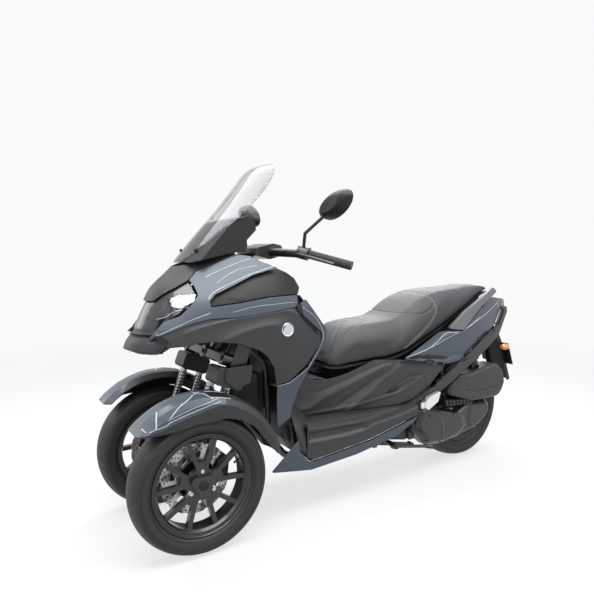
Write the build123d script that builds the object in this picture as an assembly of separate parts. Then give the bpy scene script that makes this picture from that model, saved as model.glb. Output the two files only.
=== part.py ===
"""Three-wheeled motor scooter with two leaning, steered front wheels, in millimetres.

+X points forward, +Y to the rider's left and +Z up. The origin is on the ground,
under the middle of the length.
"""
from build123d import *
from math import atan2, cos, hypot, pi, radians, sin, tan
import os

# Overall sizes
LENGTH = 2250.0
WHEELBASE = 1595.0
TRACK = 470.0
SEAT_HEIGHT = 795.0

# Tyres and wheels
FRONT_TYRE_OD = 524.0
FRONT_TYRE_WIDTH = 120.0
REAR_TYRE_OD = 552.0
REAR_TYRE_WIDTH = 140.0
RIM_SEAT_RADIUS = 178.0
RIM_FLANGE_RADIUS = 190.0
RIM_WALL = 12.0
RIM_HALF_WIDTH_FRONT = 47.0
RIM_HALF_WIDTH_REAR = 54.0
FLANGE_THICKNESS = 5.0
RIM_LIP = 3.5
SPOKE_PAIRS = 5
SPOKE_WIDTH = 17.0
SPOKE_DEPTH = 24.0
SPOKE_ROOT = (46.0, 8.0)
SPOKE_TIP_SPREAD = 53.0
SPOKE_WEB = (84.0, 26.0)
HUB_RADIUS = 40.0
HUB_PLATE_RADIUS = 58.0
AXLE_RADIUS = 10.0
AXLE_CLEARANCE = 0.05
DISC_RADIUS = 133.5
DISC_THICKNESS = 4.5
DISC_INNER_RADIUS = 66.0
DISC_WAVES = 10
DISC_WINDOWS = 10
DISC_WINDOW_BAND = (79.0, 104.0)
FRONT_DISC_INSET = 39.0
REAR_DISC_INSET = 46.0
HUB_COVER_REACH = 66.0
HUB_COVER_HEIGHT = 12.0
HUB_COVER_RECESS = (18.0, 5.0)

# Steering geometry
RAKE = radians(20.0)
TRAIL = 68.0
KINGPIN_Y = 185.0
KINGPIN_RADIUS = 18.0
PIN_CLEARANCE = 0.05
MOVING_GAP = 5.0

# Fork legs, measured along and across the steering axis
LEG_Y = 147.0
LEG_SPREAD = 37.0
LEG_RADIUS = 20.0
TUBE_RADIUS = 15.0
LEG_BOTTOM = 228.0
LEG_TOP = 420.0
YOKE_BOTTOM = 622.0
YOKE_TOP = 690.0
YOKE_INNER_Y = 124.0
YOKE_OUTER_Y = 226.0
YOKE_REAR = -34.0
YOKE_FRONT = 82.0

# Lean linkage, on the same axes
LOWER_ARM_HEIGHT = 722.0
UPPER_ARM_HEIGHT = 838.0
ARM_REACH = 185.0
ARM_DEPTH = 30.0
ARM_SECTION = 36.0
ARM_PIN_RADIUS = 9.0
BOSS_RADIUS = 25.0
CARRIER_REAR = -26.0
CARRIER_FRONT = 34.0
CARRIER_HALF_WIDTH = 24.0
HEAD_HALF_WIDTH = 30.0
HEAD_TUBE_RADIUS = 30.0
HEAD_TUBE_TOP = 1010.0
STEM_RADIUS = 15.0

# Frame
FRAME_TUBE_RADIUS = 15.0
RAIL_RADIUS = 13.0
SHOCK_PIN_RADIUS = 8.0
SHOCK_TOP = (-785.0, 728.0)
SHOCK_FOOT = (-712.0, 352.0)
SHOCK_Y = 112.0
ENGINE_PIVOT = (-120.0, 214.0)
RAIL_HALF = 146.0
SEAT_RAIL = ((-178, 92, 284), (-205, RAIL_HALF, 400), (-330, RAIL_HALF, 560), (-430, RAIL_HALF, 655),
             (-700, 142, 750), (-960, 60, 800))
#                    x, z, radius, half length
FRAME_CROSS_TUBES = (
    (500.0, 440.0, 12.0, 92.0),
    (100.0, 223.0, 12.0, 92.0),
    (*ENGINE_PIVOT, 12.0, 92.0),
    (-930.0, 792.0, 10.0, 62.0),
    (*SHOCK_TOP, SHOCK_PIN_RADIUS, 128.0),
)

STORAGE_STAY = (-330.0, 560.0, 8.0)
# Struts to the front bodywork: start, end, radius, panel they end on
NOSE_STAYS = (
    ((690, 0, 745), (1110, 0, 748), 9, "trim"),
    ((640, 0, 851), (1090, 0, 821), 9, "lamp"),
    ((623, 0, 905), (1000, 0, 955), 9, "cowl"),
)
FRONT_SIDE_STAYS = (
    ((508, 84, 650), (520, 310, 690), 8, "trim"),
    ((612, 25, 880), (600, 310, 896), 8, "fairing"),
    ((606, 24, 925), (590, 300, 972), 8, "pocket"),
    ((503, 90, 560), (470, 310, 560), 8, "fairing"),
    ((300, 92, 226), (300, 310, 226), 7, "fairing"),
    ((500, 92, 470), (467.5, 92, 470), 7, "shield"),
    ((592, 24, 930), (646, 70, 1080), 7, "dash"),
)

# Bodywork
WALL = 3.5
SCREEN_THICKNESS = 4.0
PANEL_GAP = 1.5
SEAT_FIT = 0.3
SLOPE_ROOM = 2.0
NOSE_DEPTH = 600.0
TRIM_INSET = 4.0
# Struts to the rear bodywork: start, end, radius, inset of the panel's inner face
REAR_STAYS = (
    ((-215, RAIL_HALF, 418), (-215, 260, 440), 7, TRIM_INSET + WALL),
    ((-650, 142, 732), (-650, 220, 732), 7, WALL),
    ((-738, 134, 756), (-757, 150, 632), 6, 5.0),
    ((-757, 142, 632), (-757, 210, 632), 7, 5.0),
    ((-664, 140, 745), (-650, 146, 800), 6, 9.0),
    ((-650, 138, 800), (-650, 210, 800), 7, 9.0),
    ((-870, 92, 780), (-866, 100, 893), 6, 9.0),
    ((-866, 92, 893), (-866, 150, 893), 7, 9.0),
)
POCKET_INSET = 24.0
LAMP_INSET = 16.0
MUDGUARD_RADIUS = 333.0
MUDGUARD_WALL = 3.0
MUDGUARD_OUTER_Y = 305.0
MUDGUARD_INNER_Y = 172.0

HALF_LENGTH = LENGTH / 2
HALF_TRACK = TRACK / 2
FRONT_AXLE_X = HALF_LENGTH - FRONT_TYRE_OD / 2
FRONT_AXLE_Z = FRONT_TYRE_OD / 2
REAR_AXLE_X = FRONT_AXLE_X - WHEELBASE
REAR_AXLE_Z = REAR_TYRE_OD / 2
STEER_GROUND_X = FRONT_AXLE_X + TRAIL

# Front bodywork: one row for each height
#            z, foremost x, half width
FRONT_FORM = (
    (150.0, 1010.0, 222.0),
    (400.0, 1020.0, 240.0),
    (620.0, 1034.0, 257.0),
    (745.0, 1094.0, 264.0),
    (850.0, 1068.0, 258.0),
    (950.0, 985.0, 238.0),
    (1060.0, 866.0, 192.0),
    (1140.0, 780.0, 158.0),
)
FRONT_FORM_REAR = -330.0

# Rear bodywork: one row for each station along the length
#            x, half width low, middle, high
REAR_FORM = (
    (-1130.0, 108.0, 68.0, 30.0),
    (-1000.0, 146.0, 104.0, 70.0),
    (-800.0, 200.0, 162.0, 128.0),
    (-600.0, 228.0, 192.0, 156.0),
    (-400.0, 240.0, 205.0, 168.0),
    (-200.0, 235.0, 200.0, 163.0),
    (0.0, 212.0, 176.0, 140.0),
    (200.0, 175.0, 138.0, 102.0),
    (480.0, 150.0, 112.0, 84.0),
)
REAR_FORM_BOTTOM = 150.0
REAR_FORM_MIDDLE = 600.0
REAR_FORM_TOP = 1000.0

# Side-view outlines (x, z) of the panels
TOP_COWL = ((1130, 915), (999, 915), (946, 943), (896, 968), (850, 994), (815, 1030), (731, 1065),
            (661, 1095), (758, 1076), (859, 1049), (887, 1042), (1130, 1042))
SIDE_FAIRING = ((1008, 789), (959, 849), (904, 869), (849, 919), (833, 943), (840, 978), (850, 994),
                (815, 1030), (731, 1065), (661, 1095), (606, 1087), (571, 1068), (503, 1041), (522, 1038),
                (614, 1014), (705, 973), (773, 943), (797, 918), (796, 898), (686, 911), (573, 929),
                (450, 936), (449, 895), (462, 889), (616, 867), (689, 859), (806, 855), (875, 837),
                (927, 817), (994, 787))
POCKET = ((797, 918), (773, 943), (705, 973), (614, 1014), (522, 1038), (503, 1041), (465, 1024),
          (434, 1001), (419, 963), (431, 936), (450, 936), (573, 929), (686, 911), (796, 898))
LAMP_RECESS = ((1130, 789), (1130, 915), (999, 915), (946, 943), (896, 968), (850, 994), (840, 978),
               (833, 943), (849, 919), (904, 869), (959, 849), (1008, 789))
HEADLIGHT = ((1030, 868), (963, 898), (936, 933), (903, 947), (833, 949), (847, 919), (899, 888),
             (949, 873), (998, 866))
RUNNING_LIGHT = ((1040, 862), (967, 873), (900, 901), (908, 891), (968, 863), (1040, 845))
NOSE_COVER = ((1130, 700), (1130, 788), (1008, 788), (994, 786), (952, 752), (991, 726), (1050, 717))
LOWER_COVER = ((952, 752), (994, 786), (927, 817), (875, 837), (806, 855), (689, 859), (616, 867),
               (462, 889),
               (428, 853), (349, 781), (343, 746), (414, 655), (488, 592), (542, 582), (559, 658),
               (588, 702), (622, 729), (705, 761), (783, 770), (850, 768), (880, 758))
LEG_TRIM = ((413, 919), (318, 790), (324, 745), (404, 630), (433, 581), (465, 499), (477, 441),
            (532, 409), (541, 580), (484, 590), (405, 645), (345, 735), (345, 781), (428, 853), (458, 889))
UNDER_STRIP = ((559, 227), (434, 346), (424, 282), (365, 236), (54, 274), (-246, 345), (-181, 307),
               (-100, 268), (130, 223), (367, 201))
BODY_SIDE = ((455, 400), (440, 520), (400, 590), (317, 566), (274, 549), (210, 550), (121, 571),
             (-12, 621), (-163, 609), (-437, 562), (-307, 460), (-208, 418), (-120, 403.5), (210, 403.5),
             (392, 396))
SIDE_VENT = ((-43, 449), (-117, 502), (-203, 539), (-286, 537), (-272, 519), (-190, 500), (-132, 459))
VENT_FIN = ((-90, 470), (-96, 478), (-196, 519), (-296, 524), (-292, 516), (-200, 510))
VENT_DEPTH = 16.0
TAIL_PANEL = ((-163, 611), (-400, 725), (-468, 727), (-572, 712), (-713, 804), (-860, 876), (-1009, 859),
              (-973, 805), (-889, 728), (-705, 655), (-546, 571), (-440, 564))
TAIL_SPAR = ((-1000, 818), (-896, 713), (-710, 647), (-546, 567), (-392, 494), (-306, 439), (-356, 428),
             (-421, 455), (-615, 540), (-925, 668), (-1063, 782), (-1058, 812))
GRAB_RAIL = ((-456, 737), (-589, 814), (-863, 928), (-915, 905), (-727, 829), (-572, 721))
WINDSCREEN_SIDE = ((863, 1060), (671, 1278), (544, 1413), (450, 1466))

FLOOR_INNER_Y = 128.0
FLOOR_OUTER_Y = 236.0
FLOOR_TOP = 400.0
FLOOR_BOARD = ((392, 392), (203, FLOOR_TOP), (-176, FLOOR_TOP), (-280, 440), (-340, 480), (-300, 400),
               (-232, 350),
               (54, 282), (350, 245), (392, 262))
KICK_PLATE = ((388, 392), (492, 398), (492, 372), (424, 286), (388, 262))
KICK_PLATE_Y = (196.0, 200.0)
TREAD_RIBS = 12
TREAD_START = 180.0
TREAD_PITCH = 26.0
TUNNEL_LINE = ((232, 548), (300, 556), (400, 612))
FUEL_LID = ((258, 560), (262, 550), (352, 578), (348, 589))
FUEL_LID_HALF = 46.0

STORAGE_SIDE = ((70, 586), (62, 440), (-250, 424), (-330, 500), (-420, 590), (-640, 640), (-700, 820),
                (-410, 700),
                (-154, 592), (-12, 600))
STORAGE_HALF = 128.0
SADDLE_HINGE = (214.0, 588.0)
SADDLE_PIN_RADIUS = 4.0
LID_HINGE = (358.0, 590.0)
LID_PIN_RADIUS = 2.0
ENGINE_SIDE = ((-20, 372), (-20, 268), (-110, 268), (-170, 255), (-190, 185), (-300, 165), (-420, 180),
               (-446, 290), (-440, 380),
               (-300, 396), (-180, 384))
ENGINE_HALF = 68.0
ARM_INNER = 80.0
ARM_OUTER = 98.0
BELT_CASE = ((-338, 366), (-583, 292), (-674, 337), (-845, 323), (-849, 244), (-754, 176), (-624, 147),
             (-488, 120 + 10),
             (-381, 139), (-281, 254))
CASE_ROUNDING = 46.0
BELT_INNER = 80.0
BELT_OUTER = 156.0
AIR_BOX = ((-456, 406), (-574, 495), (-667, 493), (-859, 523), (-912, 475), (-929, 405), (-882, 340),
           (-676, 337.4))
AIR_BOX_INNER = 84.0
AIR_BOX_OUTER = 184.0
SHOCK_COILS = 8
MIRROR_X = 345.0
MIRROR_Y = 362.0
MIRROR_Z = 1284.0
MIRROR_TILT = radians(19.0)
STAND_HINGE = (-100.0, 178.0)
STAND_PIN_RADIUS = 6.0
STAND_REACH = 196.0
STAND_HALF = 118.0
SIDE_STAND_HINGE = (-150.0, 172.0, 190.0)
SIDE_STAND_TILT = radians(12.0)

TAIL_LAMP = ((-1012, 800), (-1060, 800), (-1052, 850), (-1016, 858))
GUARD_LINE = ((-905, 742), (-985, 698), (-1036, 620), (-HALF_LENGTH, 385))
GUARD_WALL = 5.0
PLATE_HEIGHTS = (604.0, 478.0)
INDICATOR = (-1017.0, 586.0)
FRONT_INDICATOR = ((728, 929), (700, 944), (668, 940), (650, 931), (690, 924))
PEG_HINGE = (-238.0, 252.0, 397.0)
PEG_PIN_RADIUS = 4.0
PEG_LINE = ((-238, 385), (-238, 409), (-254, 411), (-270, 431), (-347, 452), (-331, 404), (-268, 370),
            (-254, 384))
METER_HOOD = ((849, 1057), (845, 1102), (800, 1198), (612, 1242), (582, 1224), (576, 1190), (616, 1150),
              (618, 1102), (680, 1100),
              (820, 1066))
DASH_LINE = ((470, 1000), (560, 1062), (668, 1084))

# Seat: x, half width, underside z, top z
SEAT_FORM = (
    (226.0, 96.0, 612.0, 636.0),
    (196.0, 126.0, 600.0, 684.0),
    (97.0, 150.0, 602.0, 764.0),
    (0.0, 170.0, 612.0, 783.0),
    (-90.0, 179.0, 618.0, SEAT_HEIGHT - 6),
    (-170.0, 183.0, 632.0, SEAT_HEIGHT + 5),
    (-260.0, 184.0, 664.0, 846.0),
    (-350.0, 180.0, 702.0, 892.0),
    (-560.0, 157.0, 790.0, 927.0),
    (-720.0, 128.0, 862.0, 939.0),
    (-880.0, 86.0, 906.0, 922.0),
)


def steer_point(across, along, y):
    """Point at a distance in front of the steering axis and a distance up along it."""
    return (
        STEER_GROUND_X - along * sin(RAKE) + across * cos(RAKE),
        y,
        along * cos(RAKE) + across * sin(RAKE),
    )


AXLE_ALONG = TRAIL * sin(RAKE) + FRONT_AXLE_Z * cos(RAKE)
AXLE_ACROSS = FRONT_AXLE_Z * sin(RAKE) - TRAIL * cos(RAKE)


def corner_radii(points, wanted):
    """Rounding for each corner, held to what its two edges leave room for."""
    radii = []
    count = len(points)
    for i in range(count):
        ax, ay = points[i - 1][0] - points[i][0], points[i - 1][1] - points[i][1]
        bx, by = points[(i + 1) % count][0] - points[i][0], points[(i + 1) % count][1] - points[i][1]
        turn = abs(pi - abs(atan2(ax * by - ay * bx, ax * bx + ay * by)))
        room = 0.42 * min(hypot(ax, ay), hypot(bx, by)) / max(tan(turn / 2), 0.02)
        radii.append(min(wanted, room))
    return radii


def flat_face(points, rounding=0.0):
    """Face on the XY plane from a closed outline with rounded corners."""
    if rounding > 0:
        line = FilletPolyline(*points, radius=corner_radii(points, rounding), close=True)
    else:
        line = Polyline(*points, close=True)
    return make_face(line)


def prism(points, y_low, y_high, rounding=0.0, taper=0.0):
    """Side-view outline extruded across the vehicle; a taper narrows it towards y_low."""
    plane = Plane(origin=(0, y_high, 0), x_dir=(1, 0, 0), z_dir=(0, -1, 0))
    return extrude(plane * flat_face(points, rounding), amount=y_high - y_low, taper=taper)


def both_sides(shape):
    """The shape and its mirror image across the vehicle's middle plane."""
    return Compound(children=[*shape.solids(), *mirror(shape, about=Plane.XZ).solids()])


def rod(start, end, radius):
    """Round bar between two points."""
    along = Vector(*end) - Vector(*start)
    return extrude(Plane(origin=start, z_dir=along) * Circle(radius), amount=along.length)


def cross_rod(x, z, radius, y_low, y_high):
    """Round bar across the vehicle."""
    return rod((x, y_low, z), (x, y_high, z), radius)


def front_surface(inset):
    """Smooth outer face of the front bodywork, from one flank round the nose to the other."""
    rows = []
    for z, front, half in FRONT_FORM:
        centre, width, depth = front - NOSE_DEPTH, half - inset, NOSE_DEPTH - inset
        right = [(x, -width) for x in (FRONT_FORM_REAR, centre - 400, centre - 150)]
        nose = [(centre + depth * sin(radians(turn)), -width * cos(radians(turn)))
                for turn in range(0, 181, 15)]
        left = [(x, -y) for x, y in reversed(right)]
        rows.append([Vector(x, y, z) for x, y in (*right, *nose, *left)])
    return Face.make_surface_from_array_of_points(rows, tol=0.2)


def front_layer(outer, inner):
    """Layer of the front bodywork between two insets."""
    return thicken(front_surface(outer), amount=inner - outer)


def front_outside(inset):
    """Thick jacket round the front bodywork, used to trim what fits inside it."""
    return thicken(front_surface(inset), amount=-90.0)


def rear_form(inset):
    """Rear bodywork as a solid: arched sides lofted along the length, moved inward by the inset."""
    sections = []
    for x, low, middle, high in REAR_FORM:
        lo, mid, hi = low - inset, middle - inset, high - inset
        left = ThreePointArc((lo, REAR_FORM_BOTTOM), (mid, REAR_FORM_MIDDLE), (hi, REAR_FORM_TOP))
        right = ThreePointArc((-hi, REAR_FORM_TOP), (-mid, REAR_FORM_MIDDLE), (-lo, REAR_FORM_BOTTOM))
        top = Line((hi, REAR_FORM_TOP), (-hi, REAR_FORM_TOP))
        bottom = Line((-lo, REAR_FORM_BOTTOM), (lo, REAR_FORM_BOTTOM))
        plane = Plane(origin=(x, 0, 0), x_dir=(0, 1, 0), z_dir=(1, 0, 0))
        sections.append(plane * make_face([left, top, right, bottom]))
    return loft(sections)


def across(points, rounding=0.0):
    """Outline prism right through both sides of the body."""
    return prism(points, -500.0, 500.0, rounding)


def shrink(points, gap):
    """Outline whose edges are all moved inward by the gap."""
    count = len(points)
    area = sum(points[i - 1][0] * points[i][1] - points[i][0] * points[i - 1][1] for i in range(count))
    side = 1 if area > 0 else -1
    moved = []
    for i in range(count):
        (ax, az), (bx, bz), (cx, cz) = points[i - 1], points[i], points[(i + 1) % count]
        before, after = hypot(bx - ax, bz - az), hypot(cx - bx, cz - bz)
        n1 = (-(bz - az) / before * side, (bx - ax) / before * side)
        n2 = (-(cz - bz) / after * side, (cx - bx) / after * side)
        share = max(1 + n1[0] * n2[0] + n1[1] * n2[1], 0.4)
        moved.append((bx + gap * (n1[0] + n2[0]) / share, bz + gap * (n1[1] + n2[1]) / share))
    return moved


def grow(points, margin):
    """Outline whose edges are all moved outward by the margin."""
    return shrink(points, -margin)


def largest(shape):
    """The largest solid of a shape that a cut has parted."""
    return max(shape.solids(), key=lambda solid: solid.volume)


def seated_lens(outer, seat, points):
    """Pair of lenses that fill the room between an outer face and the wall they sit on."""
    wall = front_layer(seat, seat + WALL)
    pieces = (front_layer(outer, seat + 6) & across(points, 4)) - wall
    return group(*sorted(pieces.solids(), key=lambda solid: solid.volume)[-2:])


def panel(layer, points, rounding=5.0):
    """Panel cut from a body layer, with half of the panel gap left round its edge."""
    return layer & across(shrink(points, PANEL_GAP / 2), rounding)


def rear_panel(outer, inner, points, rounding=5.0):
    """Panel between two insets of the rear bodywork, with half of the panel gap left round its edge."""
    block = rear_form(outer) & across(shrink(points, PANEL_GAP / 2), rounding)
    return block - rear_form(inner)


def tyre(x, z, y, outer_radius, width, rim_half_width):
    """Road tyre seated between the rim's flanges."""
    half = width / 2
    bead = rim_half_width - FLANGE_THICKNESS
    shoulder = outer_radius - 16
    section = [
        Line((-bead, RIM_SEAT_RADIUS), (bead, RIM_SEAT_RADIUS)),
        Line((bead, RIM_SEAT_RADIUS), (bead, RIM_FLANGE_RADIUS + 1)),
        ThreePointArc((bead, RIM_FLANGE_RADIUS + 1), (half, (RIM_FLANGE_RADIUS + shoulder) / 2 + 6),
                      (half - 5, shoulder)),
        ThreePointArc((half - 5, shoulder), (0, outer_radius), (5 - half, shoulder)),
        ThreePointArc((5 - half, shoulder), (-half, (RIM_FLANGE_RADIUS + shoulder) / 2 + 6),
                      (-bead, RIM_FLANGE_RADIUS + 1)),
        Line((-bead, RIM_FLANGE_RADIUS + 1), (-bead, RIM_SEAT_RADIUS)),
    ]
    plane = Plane(origin=(x, y, z), x_dir=(0, 1, 0), z_dir=(-1, 0, 0))
    return revolve(plane * make_face(section), Axis((x, y, z), (0, 1, 0)))


def ring(x, z, y_low, y_high, outer, inner):
    """Plain ring about a wheel's axis."""
    plane = Plane(origin=(x, y_low, z), z_dir=(0, 1, 0))
    return extrude(plane * (Circle(outer) - Circle(inner)), amount=y_high - y_low)


def brake_disc(x, z, y_low):
    """Petal disc whose edge is cut by shallow round scallops."""
    disc = ring(x, z, y_low, y_low + DISC_THICKNESS, DISC_RADIUS, DISC_INNER_RADIUS)
    for i in range(DISC_WAVES):
        angle = 2 * pi * i / DISC_WAVES
        reach = DISC_RADIUS + 16
        scallop = cross_rod(x + reach * cos(angle), z + reach * sin(angle), 20, y_low - 1, y_low + 8)
        disc -= scallop
    inner, outer = DISC_WINDOW_BAND
    for i in range(DISC_WINDOWS):
        middle = 2 * pi * (i + 0.5) / DISC_WINDOWS
        corners = ((inner, 12), (outer, 13), (outer, -13), (inner, -12))
        outline = [(x + r * cos(middle + radians(a)), z + r * sin(middle + radians(a))) for r, a in corners]
        disc -= prism(outline, y_low - 1, y_low + DISC_THICKNESS + 1, 6)
    return disc


def spoke_pair(x, z, middle, y_low, y_high):
    """Two spokes that part from one web and open towards the rim."""
    def place(out, aside):
        return (x + out * cos(middle) - aside * sin(middle), z + out * sin(middle) + aside * cos(middle))

    web_out, web_half = SPOKE_WEB
    web = [place(25, -22), place(25, 22), place(web_out, web_half), place(web_out, -web_half)]
    pair = prism(web, y_low, y_high)
    root_out, root_aside = SPOKE_ROOT
    tip_out = ((RIM_SEAT_RADIUS - RIM_WALL / 2) ** 2 - SPOKE_TIP_SPREAD ** 2) ** 0.5
    for side in (-1, 1):
        reach, spread = tip_out - root_out, SPOKE_TIP_SPREAD - root_aside
        length = hypot(reach, spread)
        a, b = spread / length * SPOKE_WIDTH / 2, reach / length * SPOKE_WIDTH / 2
        leg = [place(root_out - a, side * (root_aside + b)), place(tip_out - a, side * (SPOKE_TIP_SPREAD + b)),
               place(tip_out + a, side * (SPOKE_TIP_SPREAD - b)), place(root_out + a, side * (root_aside - b))]
        pair += prism(leg, y_low, y_high)
    return pair


def rim(x, z, y, half):
    """Cast rim with a lip at each side and a sloping inner face."""
    seat, lip, bore = RIM_SEAT_RADIUS, RIM_FLANGE_RADIUS, RIM_SEAT_RADIUS - RIM_WALL
    side = ((half - FLANGE_THICKNESS, seat), (half - FLANGE_THICKNESS, lip), (half, lip), (half, lip - RIM_LIP),
            (half - 3, lip - RIM_LIP - 2), (half - 7, seat - 5), (half - 17, bore))
    section = [*side, *[(-a, r) for a, r in reversed(side)]]
    plane = Plane(origin=(x, y, z), x_dir=(0, 1, 0), z_dir=(-1, 0, 0))
    return revolve(plane * make_face(Polyline(*section, close=True)), Axis((x, y, z), (0, 1, 0)))


def wheel(x, z, y, rim_half_width, disc_y, hub_low, hub_high, covered=True):
    """Cast rim with paired spokes, hub with a running bore and cover, and its brake disc as a second solid."""
    low, high = y - rim_half_width, y + rim_half_width
    barrel = rim(x, z, y, rim_half_width)
    spoke_high = y + rim_half_width - 16
    spoke_low = spoke_high - SPOKE_DEPTH
    for i in range(SPOKE_PAIRS):
        barrel += spoke_pair(x, z, 2 * pi * (i + 0.25) / SPOKE_PAIRS, spoke_low, spoke_high)
    barrel += ring(x, z, hub_low, hub_high, HUB_RADIUS, AXLE_RADIUS + AXLE_CLEARANCE)
    barrel += ring(x, z, spoke_low, spoke_high - 3, HUB_PLATE_RADIUS, AXLE_RADIUS + AXLE_CLEARANCE)
    barrel += ring(x, z, disc_y + DISC_THICKNESS, hub_low + 6, DISC_INNER_RADIUS + 8,
                   AXLE_RADIUS + AXLE_CLEARANCE)
    if covered:
        corners = [(x + HUB_COVER_REACH * cos(radians(a)), z + HUB_COVER_REACH * sin(radians(a)))
                   for a in (-90, 30, 150)]
        cover_top = hub_high + HUB_COVER_HEIGHT
        recess_radius, recess_depth = HUB_COVER_RECESS
        barrel += prism(corners, spoke_high - 1, cover_top, 16)
        barrel -= cross_rod(x, z, recess_radius, cover_top - recess_depth, cover_top + 1)
    barrel -= cross_rod(x, z, AXLE_RADIUS + AXLE_CLEARANCE, low - 60, high + 60)
    return barrel, brake_disc(x, z, disc_y)


def save(shape, node):
    """Write one sub-part to its own file."""
    export_step(shape, f"parts/{node}.step")


def group(*shapes):
    """Separate solids that share one node."""
    solids = []
    for shape in shapes:
        solids.extend(shape.solids())
    return Compound(children=solids)


def build_wheels():
    """Three tyres and three wheels with their discs."""
    for side, name in ((1, "front_left"), (-1, "front_right")):
        y = side * HALF_TRACK
        save(tyre(FRONT_AXLE_X, FRONT_AXLE_Z, y, FRONT_TYRE_OD / 2, FRONT_TYRE_WIDTH,
                  RIM_HALF_WIDTH_FRONT), f"tyre_{name}")
        casting, disc = wheel(FRONT_AXLE_X, FRONT_AXLE_Z, HALF_TRACK, RIM_HALF_WIDTH_FRONT,
                              HALF_TRACK - FRONT_DISC_INSET, HALF_TRACK - 28, HALF_TRACK + 34)
        if side < 0:
            casting, disc = mirror(casting, about=Plane.XZ), mirror(disc, about=Plane.XZ)
        save(group(casting, disc), f"wheel_{name}")
    save(tyre(REAR_AXLE_X, REAR_AXLE_Z, 0, REAR_TYRE_OD / 2, REAR_TYRE_WIDTH, RIM_HALF_WIDTH_REAR),
         "tyre_rear")
    casting, disc = wheel(REAR_AXLE_X, REAR_AXLE_Z, 0, RIM_HALF_WIDTH_REAR, -REAR_DISC_INSET - DISC_THICKNESS,
                          -36, 40, covered=False)
    save(group(casting, disc), "wheel_rear")


def axis_prism(points, y_low, y_high, rounding=0.0):
    """Outline in the steering axis's own plane (across, along), extruded across the vehicle."""
    placed = [(steer_point(a, b, 0)[0], steer_point(a, b, 0)[2]) for a, b in points]
    return prism(placed, y_low, y_high, rounding)


def axis_box(a_low, a_high, b_low, b_high, y_low, y_high, rounding=0.0):
    """Block in line with the steering axis."""
    return axis_prism(((a_low, b_low), (a_high, b_low), (a_high, b_high), (a_low, b_high)),
                      y_low, y_high, rounding)


def axis_rod(across_at, low, high, y, radius):
    """Round bar parallel to the steering axis."""
    return rod(steer_point(across_at, low, y), steer_point(across_at, high, y), radius)


def axis_pin(along_at, a_low, a_high, y, radius):
    """Round bar at right angles to the steering axis, pointing forward."""
    return rod(steer_point(a_low, along_at, y), steer_point(a_high, along_at, y), radius)


def build_fork():
    """Left fork: yoke, two legs in tandem inside the wheel, axle and brake caliper; and its chrome tubes."""
    legs = (AXLE_ACROSS - LEG_SPREAD, AXLE_ACROSS + LEG_SPREAD)
    yoke = axis_box(YOKE_REAR, YOKE_FRONT, YOKE_BOTTOM, YOKE_TOP, YOKE_INNER_Y, YOKE_OUTER_Y, 14)
    yoke -= axis_rod(0, YOKE_BOTTOM - 10, YOKE_TOP + 10, KINGPIN_Y, KINGPIN_RADIUS + PIN_CLEARANCE)
    for a in legs:
        yoke -= axis_rod(a, YOKE_BOTTOM - 1, YOKE_TOP - 12, LEG_Y, TUBE_RADIUS)
    lower = None
    for a in legs:
        leg = axis_rod(a, LEG_BOTTOM, LEG_TOP, LEG_Y, LEG_RADIUS)
        leg += axis_rod(a, LEG_TOP - 12, LEG_TOP, LEG_Y, LEG_RADIUS + 2)
        lower = leg if lower is None else lower + leg
    plate = ((legs[0] - 16, 232), (legs[1] + 16, 232), (legs[1] + 20, 300), (legs[1], 330),
             (legs[0], 330), (legs[0] - 20, 300))
    lower += axis_prism(plate, LEG_Y - 17, LEG_Y + 17, 10)
    lower += cross_rod(FRONT_AXLE_X, FRONT_AXLE_Z, 24, LEG_Y - 22, LEG_Y + 24)
    axle_end = HALF_TRACK + 44
    lower += cross_rod(FRONT_AXLE_X, FRONT_AXLE_Z, AXLE_RADIUS, LEG_Y, axle_end)
    caliper = axis_prism(((-118 + AXLE_ACROSS, AXLE_ALONG + 34), (-82 + AXLE_ACROSS, AXLE_ALONG + 14),
                          (-58 + AXLE_ACROSS, AXLE_ALONG + 74), (-84 + AXLE_ACROSS, AXLE_ALONG + 112),
                          (-104 + AXLE_ACROSS, AXLE_ALONG + 92)), LEG_Y + 22, HALF_TRACK - 19, 8)
    disc_low = HALF_TRACK - FRONT_DISC_INSET
    caliper -= ring(FRONT_AXLE_X, FRONT_AXLE_Z, disc_low - 3, disc_low + DISC_THICKNESS + 3,
                    DISC_RADIUS + 4, 20)
    caliper += axis_prism(((-92 + AXLE_ACROSS, AXLE_ALONG + 30), (-20 + AXLE_ACROSS, AXLE_ALONG + 8),
                           (-20 + AXLE_ACROSS, AXLE_ALONG + 56), (-78 + AXLE_ACROSS, AXLE_ALONG + 76)),
                          LEG_Y + 8, LEG_Y + 26, 8)
    lower += caliper
    post_top = steer_point(40, YOKE_BOTTOM + 4, YOKE_OUTER_Y - 10)
    lift_x, lift_z = post_top[0] - FRONT_AXLE_X, post_top[2] - FRONT_AXLE_Z
    share = (MUDGUARD_RADIUS + SEAT_FIT) / hypot(lift_x, lift_z)
    yoke += rod((FRONT_AXLE_X + lift_x * share, post_top[1], FRONT_AXLE_Z + lift_z * share), post_top, 8)
    tubes = None
    for a in legs:
        tube = axis_rod(a, LEG_TOP, YOKE_TOP - 12, LEG_Y, TUBE_RADIUS)
        tubes = tube if tubes is None else group(tubes, tube)
    return yoke, lower, tubes


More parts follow.
